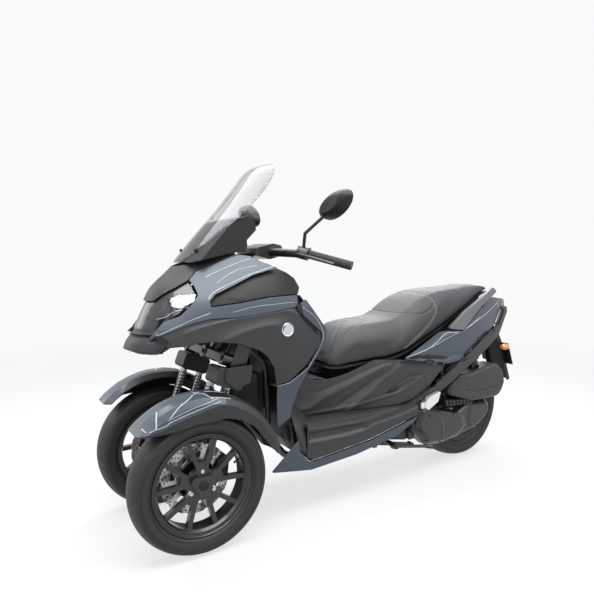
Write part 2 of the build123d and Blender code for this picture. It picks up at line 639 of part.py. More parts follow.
def build_mudguard():
    """Left front mudguard: a hoop about the axle with a deep outer skirt."""
    r, w = MUDGUARD_RADIUS, MUDGUARD_WALL
    inner, outer = MUDGUARD_INNER_Y, MUDGUARD_OUTER_Y
    profile = ((inner, r - 24), (inner + 20, r - 3), (inner + 44, r), (outer - 44, r), (outer - 16, r - 9),
               (outer - 3, r - 30), (outer, r - 60), (outer, r - 95), (outer - w, r - 95), (outer - w, r - 60),
               (outer - 3 - w, r - 31), (outer - 18, r - 9 - w), (outer - 45, r - w), (inner + 45, r - w),
               (inner + 21, r - 3 - w), (inner + w, r - 25 - w))
    plane = Plane(origin=(FRONT_AXLE_X, 0, FRONT_AXLE_Z), x_dir=(0, 1, 0), z_dir=(-1, 0, 0))
    hoop = revolve(plane * make_face(Polyline(*profile, close=True)),
                   Axis((FRONT_AXLE_X, 0, FRONT_AXLE_Z), (0, 1, 0)))
    side = ((1108, 482), (1009, 482), (920, 492), (788, 505), (728, 491), (666, 454), (637, 415), (596, 366),
            (572, 336), (532, 313), (480, 330), (480, 640), (1130, 640))
    return hoop & prism(side, 100, 400, 10)


def build_front_end():
    """Forks, mudguards, lean linkage and the wheels' carriers."""
    yoke, lower, tubes = build_fork()
    guard = build_mudguard()
    cover_outline = ((641, 673), (750, 669), (757, 625), (716, 588), (652, 604))
    cover = prism(cover_outline, YOKE_OUTER_Y + SEAT_FIT, YOKE_OUTER_Y + 6, 8)
    for name, flip in (("left", False), ("right", True)):
        pieces = [yoke, lower, tubes, guard, cover]
        if flip:
            pieces = [mirror(piece, about=Plane.XZ) for piece in pieces]
        save(group(pieces[0], pieces[1], pieces[4]), f"fork_{name}")
        save(pieces[2], f"fork_tubes_{name}")
        save(pieces[3], f"mudguard_{name}")
    carriers = []
    for side in (-1, 1):
        y = side * KINGPIN_Y
        low, high = y - CARRIER_HALF_WIDTH, y + CARRIER_HALF_WIDTH
        carrier = axis_box(CARRIER_REAR, CARRIER_FRONT, YOKE_TOP + MOVING_GAP,
                           UPPER_ARM_HEIGHT + BOSS_RADIUS, low, high, 10)
        carrier += axis_rod(0, YOKE_BOTTOM + 2, YOKE_TOP + 20, y, KINGPIN_RADIUS)
        for height in (LOWER_ARM_HEIGHT, UPPER_ARM_HEIGHT):
            carrier -= axis_pin(height, CARRIER_REAR - 5, CARRIER_FRONT + 5, y,
                                ARM_PIN_RADIUS + PIN_CLEARANCE)
        carriers.append(carrier)
    arms = []
    arm_front = CARRIER_FRONT + 4 + ARM_DEPTH
    for height in (LOWER_ARM_HEIGHT, UPPER_ARM_HEIGHT):
        arm = axis_box(CARRIER_FRONT + 4, arm_front, height - ARM_SECTION / 2, height + ARM_SECTION / 2,
                       -ARM_REACH, ARM_REACH, 4)
        for y in (-ARM_REACH, 0, ARM_REACH):
            arm += axis_pin(height, CARRIER_FRONT + SEAT_FIT, arm_front + 4, y, BOSS_RADIUS)
            arm += axis_pin(height, CARRIER_REAR - 4, arm_front + 10, y, ARM_PIN_RADIUS)
        arms.append(arm)
    save(group(*carriers, *arms), "lean_linkage")


def tube_path(points, radius, bend):
    """Bent tube as one solid along straight runs with round corners."""
    line = FilletPolyline(*points, radius=bend)
    start = Plane(origin=line @ 0, z_dir=line % 0)
    return sweep(start * Circle(radius), path=line)


def peg_bracket():
    """Left bracket of a folding foot peg: a bar from the seat rail, two ears and the upright pin."""
    px, py, pz = PEG_HINGE
    plate_y = FLOOR_OUTER_Y + 2
    shape = rod((-204, 146, 394), (px + 2, plate_y, pz - 4), 8)
    shape += Pos(px, plate_y, pz) * Box(18, 3, 52)
    for lift in (-20, 20):
        shape += Pos(px, py, pz + lift) * Cylinder(9, 10) + Pos(px, (py + plate_y) / 2, pz + lift) * Box(16, py - plate_y, 10)
    shape += Pos(px, py, pz) * Cylinder(PEG_PIN_RADIUS, 48)
    return shape


def stays_along(table, side, panels):
    """Struts of one side, each cut off where it meets the inner face of its panel."""
    stays = []
    for (x0, y0, z0), (x1, y1, z1), radius, panel in table:
        strut = rod((x0, side * y0, z0), (x1, side * y1, z1), radius)
        stays.append(largest(strut - panels[panel]))
    return stays


def front_stays():
    """Struts from the head block and the cradle to the inner faces of the front bodywork."""
    fit = WALL + SEAT_FIT
    panels = {
        "fairing": front_outside(fit),
        "trim": front_outside(TRIM_INSET + fit),
        "cowl": front_outside(TRIM_INSET + fit + SLOPE_ROOM),
        "lamp": front_outside(LAMP_INSET + fit + SLOPE_ROOM),
        "pocket": front_outside(POCKET_INSET + fit + 0.5),
        "shield": prism(grow(band(SHIELD_LINE, -WALL), SEAT_FIT), -300.0, 300.0),
        "dash": prism(grow(band(DASH_LINE, -WALL), SEAT_FIT), -300.0, 300.0),
    }
    stays = stays_along(NOSE_STAYS, 1, panels)
    for side in (-1, 1):
        stays += stays_along(FRONT_SIDE_STAYS, side, panels)
    return stays


def rear_stays():
    """Struts from the seat rails to the inner faces of the rear bodywork."""
    stays = []
    guard = prism(grow(band(GUARD_LINE, GUARD_WALL), SEAT_FIT), -80, 80)
    for side in (-1, 1):
        for (x0, y0, z0), (x1, y1, z1), radius, inset in REAR_STAYS:
            strut = rod((x0, side * y0, z0), (x1, side * y1, z1), radius)
            stays.append(largest(strut & rear_form(inset + SEAT_FIT)))
        inner, outer = sorted((side * (STORAGE_HALF + SEAT_FIT), side * RAIL_HALF))
        stays += [
            cross_rod(*STORAGE_STAY, inner, outer),
            rod((-950, side * 56, 797), (-1020, side * 56, 826), 7) - across(grow(TAIL_LAMP, SEAT_FIT)),
            largest(rod((-930, side * 30, 792), (-936, side * 30, 719), 7) - guard),
        ]
    return stays


def build_frame():
    """Steel tube frame with the head block, and the cross tubes that tie its two sides."""
    head = axis_box(CARRIER_REAR, CARRIER_FRONT, YOKE_TOP + MOVING_GAP, UPPER_ARM_HEIGHT + BOSS_RADIUS,
                    -HEAD_HALF_WIDTH, HEAD_HALF_WIDTH, 10)
    head += axis_rod(0, UPPER_ARM_HEIGHT + 10, HEAD_TUBE_TOP, 0, HEAD_TUBE_RADIUS)
    for height in (LOWER_ARM_HEIGHT, UPPER_ARM_HEIGHT):
        head -= axis_pin(height, CARRIER_REAR - 80, CARRIER_FRONT + 5, 0, ARM_PIN_RADIUS + PIN_CLEARANCE)
    head -= axis_rod(0, UPPER_ARM_HEIGHT + 60, HEAD_TUBE_TOP + 5, 0, STEM_RADIUS + PIN_CLEARANCE)
    pieces = [*front_stays(), *rear_stays()]
    for side in (-1, 1):
        cradle = ((625, side * 22, 800), (510, side * 84, 640), (500, side * 92, 330), (410, side * 92, 225),
                  (-120, side * 92, 214), (-190, side * 92, 300))
        seat_rail = [(x, side * y, z) for x, y, z in SEAT_RAIL]
        pieces += [tube_path(cradle, FRAME_TUBE_RADIUS, 60), tube_path(seat_rail, RAIL_RADIUS, 60)]
    for x, z, radius, reach in FRAME_CROSS_TUBES:
        pieces.append(cross_rod(x, z, radius, -reach, reach))
    tx, tz = SHOCK_TOP
    hx, hz = STAND_HINGE
    for side in (-1, 1):
        low, high = sorted((side * (SHOCK_Y - 24), side * (SHOCK_Y - 11.3)))
        pieces.append(prism(((tx - 12, tz - 10), (tx + 12, tz - 10), (tx + 12, tz + 40), (tx - 12, tz + 40)), low, high))
        low, high = sorted((side * 74, side * 82))
        pieces.append(prism(((hx - 14, hz - 14), (hx + 14, hz - 14), (hx + 14, 224), (hx - 14, 224)), low, high, 5))
        pieces.append(cross_rod(hx, hz, STAND_PIN_RADIUS, *sorted((side * 56, side * 80))))
    pieces += [rod((SIDE_STAND_HINGE[0] + 26, 88, 216), side_pivot(-17.5), 10),
               rod(side_pivot(-22), side_pivot(-9 - SEAT_FIT), 14),
               rod(side_pivot(-16), side_pivot(12), STAND_PIN_RADIUS)]
    bracket = peg_bracket()
    pieces += [bracket, mirror(bracket, about=Plane.XZ)]
    return head + [solid for piece in pieces for solid in piece.solids()]


def band(points, thickness):
    """Closed outline of a thin wall that follows an open line."""
    far = []
    for i, (x, z) in enumerate(points):
        before, after = points[max(i - 1, 0)], points[min(i + 1, len(points) - 1)]
        dx, dz = after[0] - before[0], after[1] - before[1]
        size = hypot(dx, dz)
        far.append((x - dz / size * thickness, z + dx / size * thickness))
    return (*points, *reversed(far))


SHIELD_LINE = ((400, 262), (452, 330), (472, 430), (466, 499), (440, 585), (415, 642), (339, 748),
               (333, 792), (430, 930), (456, 1012))
SCREEN_LINE = ((863, 1060, 30), (838, 1090, 66), (792, 1144, 104), (724, 1221, 138), (648, 1303, 156),
               (566, 1391, 158), (515, 1440, 142), (476, 1461, 112), (450, 1467, 70))
SCREEN_SAG = 46.0
SCREEN_DROP = 8.0
SCREEN_BACK = (-0.68, 0.0, -0.73)
HOOD_HALF = 134.0


def build_shells():
    """Fairings, cowls, trims and the rider's side of the leg shield."""
    for node, outer, inner, outlines in (
        ("top_cowl", TRIM_INSET, TRIM_INSET + WALL, (TOP_COWL,)),
        ("side_fairings", 0, WALL, (SIDE_FAIRING,)),
        ("fairing_pockets", POCKET_INSET, POCKET_INSET + WALL, (POCKET,)),
        ("nose_cover", TRIM_INSET, TRIM_INSET + WALL, (NOSE_COVER,)),
        ("lower_covers", TRIM_INSET, TRIM_INSET + WALL, (LOWER_COVER,)),
        ("leg_trims", 0, WALL, (LEG_TRIM,)),
        ("under_strips", 0, WALL, (UNDER_STRIP,)),
        ("lamp_housing", LAMP_INSET, LAMP_INSET + WALL, (LAMP_RECESS,)),
    ):
        layer = front_layer(outer, inner)
        save(group(*[panel(layer, outline) for outline in outlines]), node)
    save(group(seated_lens(TRIM_INSET, LAMP_INSET, shrink(HEADLIGHT, 1)),
               seated_lens(TRIM_INSET, LAMP_INSET, shrink(RUNNING_LIGHT, 1))), "headlight_lenses")
    shield = prism(band(SHIELD_LINE, -WALL), -300.0, 300.0)
    pocket_room = front_outside(POCKET_INSET + WALL + SLOPE_ROOM) & across(grow(POCKET, 3))
    return shield - front_outside(TRIM_INSET + WALL + SEAT_FIT) - pocket_room


def screen_face(widen=0.0):
    """Outer face of the windscreen; a widened face serves to trim what lies behind it."""
    rows = []
    for x, z, half in SCREEN_LINE:
        reach = max(half, widen)
        across_points = [reach * step / 4 for step in range(-4, 5)]
        rows.append([Vector(x - SCREEN_SAG * (y / 150) ** 2, y, z - SCREEN_DROP * (y / 150) ** 2)
                     for y in across_points])
    return Face.make_surface_from_array_of_points(rows)


def build_screen():
    """Curved clear windscreen, widest in its middle."""
    return extrude(screen_face(), amount=SCREEN_THICKNESS, dir=SCREEN_BACK)


def screen_cutter(clearance):
    """Space in front of the windscreen's inner face, moved back by a clearance."""
    back = Vector(*SCREEN_BACK) * (SCREEN_THICKNESS + clearance)
    return extrude(Pos(back) * screen_face(170.0), amount=260.0, dir=tuple(-part for part in SCREEN_BACK))


def build_rear_panels():
    """Side covers, tail panels, diagonal spars and grab rails."""
    for node, outer, inner, outline in (
        ("body_sides", TRIM_INSET, TRIM_INSET + WALL, BODY_SIDE),
        ("tail_panels", 0, WALL, TAIL_PANEL),
        ("tail_spars", -8, 5, TAIL_SPAR),
        ("grab_rails", -9, 9, GRAB_RAIL),
    ):
        shape = rear_panel(outer, inner, outline)
        if node == "body_sides":
            backing = rear_panel(outer + WALL - 0.1, outer + VENT_DEPTH, grow(SIDE_VENT, 4))
            backing -= rear_form(outer + VENT_DEPTH - WALL) & across(SIDE_VENT, 4)
            fin = rear_panel(outer, outer + VENT_DEPTH - 1, VENT_FIN)
            shape = shape - across(SIDE_VENT, 4) + backing + fin
        save(shape, node)


def seat_section(x, half, low, high, inset=0.0):
    """Closed seat outline across the vehicle: flat base, full sides and a crowned top."""
    w = half - inset
    height = high - low
    shoulder = (w * 0.66, high - min(8.0, height * 0.1))
    belly = (w * 0.97, low + height * 0.55)
    edges = [
        Line((-w * 0.96, low), (w * 0.96, low)),
        ThreePointArc((w * 0.96, low), belly, shoulder),
        ThreePointArc(shoulder, (0, high), (-shoulder[0], shoulder[1])),
        ThreePointArc((-shoulder[0], shoulder[1]), (-belly[0], belly[1]), (-w * 0.96, low)),
    ]
    plane = Plane(origin=(x, 0, 0), x_dir=(0, 1, 0), z_dir=(1, 0, 0))
    return plane * make_face(edges)


def build_seat():
    """Cushion of two heights, and the pan that it is fixed to."""
    cushion = loft([seat_section(*row) for row in SEAT_FORM])
    pan = []
    for x, half, low, _ in SEAT_FORM:
        w = half - 16
        plane = Plane(origin=(x, 0, 0), x_dir=(0, 1, 0), z_dir=(1, 0, 0))
        pan.append(plane * make_face(Polyline((-w, low - 12), (w, low - 12), (w, low + 10), (-w, low + 10),
                                              close=True)))
    base = loft(pan) - Pos(0, 0, -SEAT_FIT) * cushion
    hx, hz = SADDLE_HINGE
    base += cross_rod(hx, hz, 10, -36, 36) + (prism(((hx - 24, hz + 4), (hx + 4, hz + 4), (hx + 8, 604), (hx - 24, 600)), -36, 36)
                                              - Pos(0, 0, -SEAT_FIT) * cushion)
    base -= cross_rod(hx, hz, SADDLE_PIN_RADIUS + PIN_CLEARANCE, -60, 60)
    for low, high in ((-46.5, -37.5), (37.5, 46.5)):
        base -= cross_rod(hx, hz, 12, low, high)
    return cushion, base


def build_floor():
    """Foot boards with their side walls, and the tunnel between them."""
    board = prism(FLOOR_BOARD, FLOOR_INNER_Y, FLOOR_OUTER_Y, 10)
    hollow = prism([(x, z - WALL) for x, z in FLOOR_BOARD], FLOOR_INNER_Y - 5, FLOOR_OUTER_Y - WALL, 10)
    board -= hollow
    shield = prism(grow(band(SHIELD_LINE, -WALL), SEAT_FIT), -300.0, 300.0)
    rear_of_shield = prism(((480, 200), (480, 420), (380, 420), (380, 200)), 150, 250) - shield
    board += prism(KICK_PLATE, *KICK_PLATE_Y, 3) & largest(rear_of_shield)
    for i in range(TREAD_RIBS):
        x = TREAD_START - i * TREAD_PITCH
        board += prism(((x, FLOOR_TOP - 1), (x - 9, FLOOR_TOP - 1), (x - 9, FLOOR_TOP + 2), (x, FLOOR_TOP + 2)),
                       FLOOR_INNER_Y + 18, FLOOR_OUTER_Y - 16)
    inside = rear_form(TRIM_INSET + WALL + SEAT_FIT)
    tunnel = across(band(TUNNEL_LINE, WALL)) & inside
    well = prism(FUEL_LID, -FUEL_LID_HALF - 1, FUEL_LID_HALF + 1)
    lid = prism(shrink(FUEL_LID, 1), -FUEL_LID_HALF, FUEL_LID_HALF)
    hx, hz = LID_HINGE
    lid += cross_rod(hx, hz, 5, -18, 18) + prism(((hx - 16, hz - 8), (hx, hz - 5), (hx, hz + 5), (hx - 16, hz)), -18, 18)
    lid -= cross_rod(hx, hz, LID_PIN_RADIUS + PIN_CLEARANCE, -40, 40)
    board -= tube_path(SEAT_RAIL, RAIL_RADIUS + 4, 60)
    board -= rod((-215, 140, 417), (-215, 262, 440), 8)
    board -= rod((-204, 146, 394), (PEG_HINGE[0] + 2, FLOOR_OUTER_Y + 2, PEG_HINGE[2] - 4), 8 + SEAT_FIT)
    tunnel -= well + prism(((hx - 18, hz - 14), (hx + 7, hz - 14), (hx + 7, hz + 10), (hx - 18, hz + 10)), -19, 19)
    for side in (-1, 1):
        low, high = sorted((side * 20, side * 25))
        tunnel += prism(((hx - 5, hz - 5), (hx + 12, hz - 2), (hx + 5, hz + 5), (hx - 5, hz + 5)), low, high)
    tunnel += cross_rod(hx, hz, LID_PIN_RADIUS, -25, 25)
    return both_sides(board), tunnel, lid


def build_storage():
    """Open-topped box under the seat, and the shroud that closes the body above the rear wheel."""
    outer = prism(STORAGE_SIDE, -STORAGE_HALF, STORAGE_HALF, 20)
    inner = prism([(x, z + 3) for x, z in shrink(STORAGE_SIDE, 3)], 3 - STORAGE_HALF, STORAGE_HALF - 3, 20)
    lift = prism([(x, z + 40) for x, z in shrink(STORAGE_SIDE, 3)], 3 - STORAGE_HALF, STORAGE_HALF - 3, 20)
    box = outer - inner - lift
    hx, hz = SADDLE_HINGE
    bridge = prism(((66, 560), (hx + 14, 560), (hx + 14, 566), (66, 566)), -46, 46)
    for side in (-1, 1):
        low, high = sorted((side * 38, side * 46))
        bridge += prism(((hx - 12, 562), (hx + 12, 562), (hx + 8, hz + 7), (hx - 8, hz + 7)), low, high, 4)
    bridge += cross_rod(hx, hz, SADDLE_PIN_RADIUS, -46, 46)
    return box + bridge


def build_engine():
    """Engine block with its forward cylinder and right-hand swing arm; belt case on the left with the axle."""
    block = prism(ENGINE_SIDE, -ENGINE_HALF, ENGINE_HALF, 12)
    block += prism(((-190, 262), (-98, 236), (-98, 196), (-190, 190)), -30, 30, 8)
    block -= cross_rod(*ENGINE_PIVOT, 12 + PIN_CLEARANCE, -95, 95)
    arm = ((-330, 330), (-330, 230), (-420, 226), (-732, 246), (-764, 262), (-764, 290), (-740, 306),
           (-728, 364), (-696, 364), (-670, 310), (-440, 330))
    block += prism(arm, -ARM_OUTER, -ARM_INNER, 8)
    block += prism(((-330, 330), (-330, 230), (-420, 226), (-430, 326)), -ARM_INNER - 1, -ENGINE_HALF + 1)
    block -= cross_rod(REAR_AXLE_X, REAR_AXLE_Z, AXLE_RADIUS + AXLE_CLEARANCE, -ARM_OUTER - 2, -ARM_INNER + 2)
    block += cross_rod(*SHOCK_FOOT, SHOCK_PIN_RADIUS, -SHOCK_Y - 16, -ARM_INNER)
    cover = prism(BELT_CASE, BELT_INNER, BELT_OUTER - 22, CASE_ROUNDING)
    cover += prism(shrink(BELT_CASE, 10), BELT_INNER, BELT_OUTER - 8, CASE_ROUNDING)
    cover += prism(shrink(BELT_CASE, 24), BELT_INNER, BELT_OUTER, CASE_ROUNDING)
    cover += prism(((-300, 350), (-430, 330), (-430, 170), (-320, 160)), ENGINE_HALF + SEAT_FIT, BELT_INNER + 1)
    cover += cross_rod(REAR_AXLE_X, REAR_AXLE_Z, 44, 46, BELT_INNER + 1)
    cover += cross_rod(REAR_AXLE_X, REAR_AXLE_Z, AXLE_RADIUS, -ARM_OUTER + 2, BELT_INNER)
    cover += prism(((-728, 368), (-696, 368), (-680, 325), (-745, 325)), BELT_INNER, SHOCK_Y - 16, 6)
    cover += cross_rod(*SHOCK_FOOT, SHOCK_PIN_RADIUS, BELT_INNER + 2, SHOCK_Y + 16)
    return block, cover


def build_shock():
    """Rear shock: two eyes, damper body and coil spring drawn as its outer sleeve with turns."""
    (fx, fz), (tx, tz) = SHOCK_FOOT, SHOCK_TOP
    length = hypot(tx - fx, tz - fz)
    ux, uz = (tx - fx) / length, (tz - fz) / length
    y = SHOCK_Y

    def at(distance):
        return (fx + ux * distance, y, fz + uz * distance)

    body = rod(at(0), at(length), 11)
    body += rod(at(40), at(length - 60), 18.5)
    body += rod(at(55), at(62), 27)
    body += rod(at(length - 75), at(length - 60), 27)
    for i in range(SHOCK_COILS):
        turn = Plane(origin=at(72 + i * (length - 155) / (SHOCK_COILS - 1)), z_dir=(ux, 0, uz))
        tilt = turn.rotated((9, 0, 0))
        body += tilt * Torus(22.5, 4.5)
    for x, z in (SHOCK_FOOT, SHOCK_TOP):
        body += cross_rod(x, z, 15, y - 11, y + 11)
    for x, z in (SHOCK_FOOT, SHOCK_TOP):
        body -= cross_rod(x, z, SHOCK_PIN_RADIUS + PIN_CLEARANCE, y - 40, y + 40)
    return both_sides(body)


def build_exhaust():
    """Silencer on the right with its end cap, heat guard and header pipe."""
    front, back = (-420, -200, 262), (-872, -200, 352)
    can = rod(front, back, 52)
    along = Vector(*back) - Vector(*front)
    unit = along.normalized()
    tip = Vector(*back) + unit * 22
    can += loft([Plane(origin=back, z_dir=unit) * Circle(52), Plane(origin=tuple(tip), z_dir=unit) * Circle(36)])
    can -= rod(tuple(tip - unit * 60), tuple(tip + unit * 5), 14)
    nose = Vector(*front) - unit * 45
    can += loft([Plane(origin=tuple(nose), z_dir=unit) * Circle(20), Plane(origin=front, z_dir=unit) * Circle(52)])
    pipe = tube_path(((-62, -46, 266.6), (-58, -50, 178), (-36, -150, 170), (-180, -198, 190),
                      tuple(nose + unit * 4)), 17, 34)
    lug = prism(((-560, 330), (-520, 330), (-520, 262), (-560, 262)), -152, -ARM_OUTER - SEAT_FIT)
    return can + pipe + lug


def build_controls():
    """Handlebar with its cover, switch housings and levers; grips; mirrors with their glasses."""
    bar = axis_rod(0, HEAD_TUBE_TOP - 90, 1185, 0, STEM_RADIUS)
    cover = ((560, 1092), (544, 1122), (470, 1140), (430, 1132), (424, 1090), (486, 1074))
    bar += prism(cover, -84, 84, 12)
    grips, mirrors, glasses = [], [], []
    for side in (1, -1):
        inner, outer = (408, side * 258, 1096), (300, side * 396, 1052)
        root = (480, side * 76, 1104)
        bar += rod(root, inner, 17)
        bar += rod(inner, outer, 11)
        unit = (Vector(*outer) - Vector(*inner)).normalized()
        bar += rod(tuple(Vector(*inner) - unit * 44), inner, 27)
        pivot = (452, side * 246, 1098)
        bar += rod((424, side * 240, 1099), pivot, 12)
        bar += rod(pivot, (366, side * 372, 1058), 6)
        grip = rod(tuple(Vector(*inner) + unit * 6), outer, 17.5) - rod(inner, tuple(Vector(*outer) + unit), 11)
        grip += rod(tuple(Vector(*outer) - unit * 3), outer, 17.5)
        grips.append(grip - bar)
        base = Vector(426, side * 250, 1126)
        elbow = (432, side * 268, 1176)
        head = (366, side * 322, 1254)
        rise = (Vector(*elbow) - base).normalized()
        bar += rod(tuple(base - rise * 30), tuple(base), 11)
        stem = rod(tuple(base + rise * 1.2), elbow, 6.5) + rod(elbow, head, 6.5) + Pos(*elbow) * Sphere(6.5)
        plane = Plane(origin=(MIRROR_X, side * MIRROR_Y, MIRROR_Z), x_dir=(0, side * cos(MIRROR_TILT), sin(MIRROR_TILT)),
                      z_dir=(1, 0, 0))
        shell = loft([plane * Ellipse(100, 48), plane.offset(18) * Ellipse(96, 44), plane.offset(44) * Ellipse(58, 24)])
        shell -= extrude(plane * Ellipse(94, 42), amount=4)
        mirrors.append(shell + stem)
        glasses.append(extrude(plane.offset(1) * Ellipse(93.7, 41.7), amount=2.7))
    return bar, group(*grips), group(*mirrors), group(*glasses)


def side_pivot(distance):
    """Point on the side stand's tilted pivot, a distance outward from its middle."""
    x, y, z = SIDE_STAND_HINGE
    return x, y + distance * cos(SIDE_STAND_TILT), z + distance * sin(SIDE_STAND_TILT)


def build_stands():
    """Folded centre stand with two splayed legs and a tang; folded side stand with its foot."""
    hx, hz = STAND_HINGE
    stand = cross_rod(hx, hz, 11, -73, 73)
    foot_x, foot_z = hx - STAND_REACH * cos(radians(6)), hz - STAND_REACH * sin(radians(6))
    for side in (1, -1):
        stand += rod((hx, side * 50, hz), (foot_x, side * STAND_HALF, foot_z), 10)
        stand += cross_rod(foot_x, foot_z, 13, side * STAND_HALF - 14, side * STAND_HALF + 14)
    stand += cross_rod(hx - 110, hz - 11.5, 9, -88, 88)
    stand -= cross_rod(hx, hz, STAND_PIN_RADIUS + PIN_CLEARANCE, -200, 200)
    x, y, z = SIDE_STAND_HINGE
    foot = (x - 188, y + 12, z - 30)
    side_stand = rod(side_pivot(-9), side_pivot(9), 14) + rod(side_pivot(0), foot, 8)
    side_stand += rod(foot, (foot[0] - 24, foot[1] + 22, foot[2] - 2), 10)
    side_stand -= rod(side_pivot(-20), side_pivot(20), STAND_PIN_RADIUS + 0.09)
    return stand, side_stand


def build_tail():
    """Tail lamp, and the rear splash guard with its number plate and indicators."""
    lamp = across(TAIL_LAMP, 6) & rear_form(TRIM_INSET + WALL)
    guard = prism(band(GUARD_LINE, GUARD_WALL), -62, 62)
    guard += prism(band(GUARD_LINE, 22.0), -62, -57) + prism(band(GUARD_LINE, 22.0), 57, 62)
    (ax, az), (bx, bz) = GUARD_LINE[-2:]
    run = hypot(bx - ax, bz - az)
    proud = 2.0 + SEAT_FIT
    plate_line = [(ax + (bx - ax) * (az - z) / (az - bz) + (bz - az) / run * proud, z - (bx - ax) / run * proud)
                  for z in PLATE_HEIGHTS]
    plate = prism(band(plate_line, 2.0), -105, 105)
    lamps = []
    for side in (1, -1):
        body = [Plane(origin=(INDICATOR[0] + dx, side * 102, INDICATOR[1]), z_dir=(1, 0, 0)) * Ellipse(wide, tall)
                for dx, wide, tall in ((-22, 13, 17), (0, 17, 21), (24, 10, 13))]
        stalk = cross_rod(INDICATOR[0] - 14, INDICATOR[1], 6, *sorted((side * (62 + SEAT_FIT), side * 96)))
        lamps.append(stalk + loft(body))
    return lamp, guard, plate, group(*lamps)


def build_small_parts():
    """Air cleaner case, radiator, front indicators, passenger pegs and instrument housing."""
    air = prism(AIR_BOX, AIR_BOX_INNER, AIR_BOX_OUTER - 10, CASE_ROUNDING)
    air += prism(shrink(AIR_BOX, 7), AIR_BOX_INNER, AIR_BOX_OUTER, CASE_ROUNDING)
    (fx, fz), (tx, tz) = SHOCK_FOOT, SHOCK_TOP
    air -= rod((fx - (tx - fx) * 0.2, SHOCK_Y, fz - (tz - fz) * 0.2), (tx, SHOCK_Y, tz), 33)
    air -= prism(((fx - 60, fz - 60), (fx + 60, fz - 60), (fx + 60, fz + 24), (fx - 60, fz + 24)), 70, SHOCK_Y + 20)
    radiator = prism(((532, 604), (562, 604), (562, 446), (532, 446)), -112, 112, 4)
    for x, y, z in ((504.8, 88, 480), (508.0, 85.5, 580)):
        for side in (-1, 1):
            radiator += rod((540, side * y, z), (x + FRAME_TUBE_RADIUS + SEAT_FIT, side * y, z), 8)
    indicator = seated_lens(POCKET_INSET - 10, POCKET_INSET, FRONT_INDICATOR)
    px, py, pz = PEG_HINGE
    peg = prism(PEG_LINE, py - 9, py + 11, 5) - Pos(px, py, pz) * Cylinder(15, 28.0)
    peg += Pos(px, py, pz) * Cylinder(10.5, 28.0) + Pos(px - 12, py, pz) * Box(20, 16, 27)
    peg -= Pos(px, py, pz) * Cylinder(PEG_PIN_RADIUS + PIN_CLEARANCE, 120.0)
    pegs = [peg, mirror(peg, about=Plane.XZ)]
    hood = prism(METER_HOOD, -HOOD_HALF, HOOD_HALF, 8) - screen_cutter(SEAT_FIT)
    hood -= prism(shrink(METER_HOOD, 3), 3 - HOOD_HALF, HOOD_HALF - 3) - screen_cutter(3 + SEAT_FIT)
    hood -= prism(((540, 1100), (540, 1204), (660, 1204), (660, 1100)), 16 - HOOD_HALF, HOOD_HALF - 16)
    hood += prism(((634, 1060), (662, 1060), (662, 1112), (634, 1112)), -60, 60)
    hood -= prism(grow(((470, 900), *DASH_LINE, (668, 900)), SEAT_FIT), -300.0, 300.0)
    inside_cowl = across(((500, 900), (500, 1102), (661, 1100), (758, 1081), (859, 1054), (1130, 1047), (1130, 900)))
    hood = largest(hood - (front_outside(TRIM_INSET + WALL + SEAT_FIT) & inside_cowl))
    dash = prism(band(DASH_LINE, -WALL), -200.0, 200.0) - front_outside(POCKET_INSET + WALL + 3)
    dash -= axis_rod(0, 900, 1200, 0, 62)
    return air, radiator, indicator, pegs, hood, dash


def main():
    """Build every sub-part and write it out."""
    os.makedirs("parts", exist_ok=True)
    build_wheels()
    build_front_end()
    shield = build_shells()
    build_rear_panels()
    boards, tunnel, lid = build_floor()
    cushion, pan = build_seat()
    engine, belt_case = build_engine()
    handlebar, grips, mirrors, glasses = build_controls()
    centre_stand, side_stand = build_stands()
    lamp, guard, plate, rear_indicators = build_tail()
    air, radiator, indicator, pegs, hood, dash = build_small_parts()
    parts = {
        "frame": build_frame(), "inner_shield": shield, "windscreen": build_screen(), "dash": dash,
        "meter_hood": hood, "foot_boards": boards, "tunnel": tunnel, "fuel_lid": lid,
        "saddle_cushion": cushion, "saddle_pan": pan, "storage_box": build_storage(), "engine": engine,
        "belt_case": belt_case, "rear_shocks": build_shock(), "exhaust": build_exhaust(),
        "handlebar": handlebar, "grips": grips, "mirrors": mirrors, "mirror_glasses": glasses,
        "centre_stand": centre_stand, "side_stand": side_stand, "tail_lamp": lamp, "splash_guard": guard,
        "number_plate": plate, "rear_indicators": rear_indicators, "air_box": air, "radiator": radiator,
        "front_indicators": indicator, "peg_left": pegs[0], "peg_right": pegs[1],
    }
    for node, shape in parts.items():
        save(shape, node)


main()
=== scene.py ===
"""Looks of the motorized trike: finishes, detail pieces, lights and camera, in metres."""

from __future__ import annotations

import logging
import math
from collections.abc import Callable, Iterator
from contextlib import contextmanager
from dataclasses import dataclass, replace
from enum import Enum

import bpy
from mathutils import Matrix, Vector
from mathutils.bvhtree import BVHTree
from mathutils.kdtree import KDTree

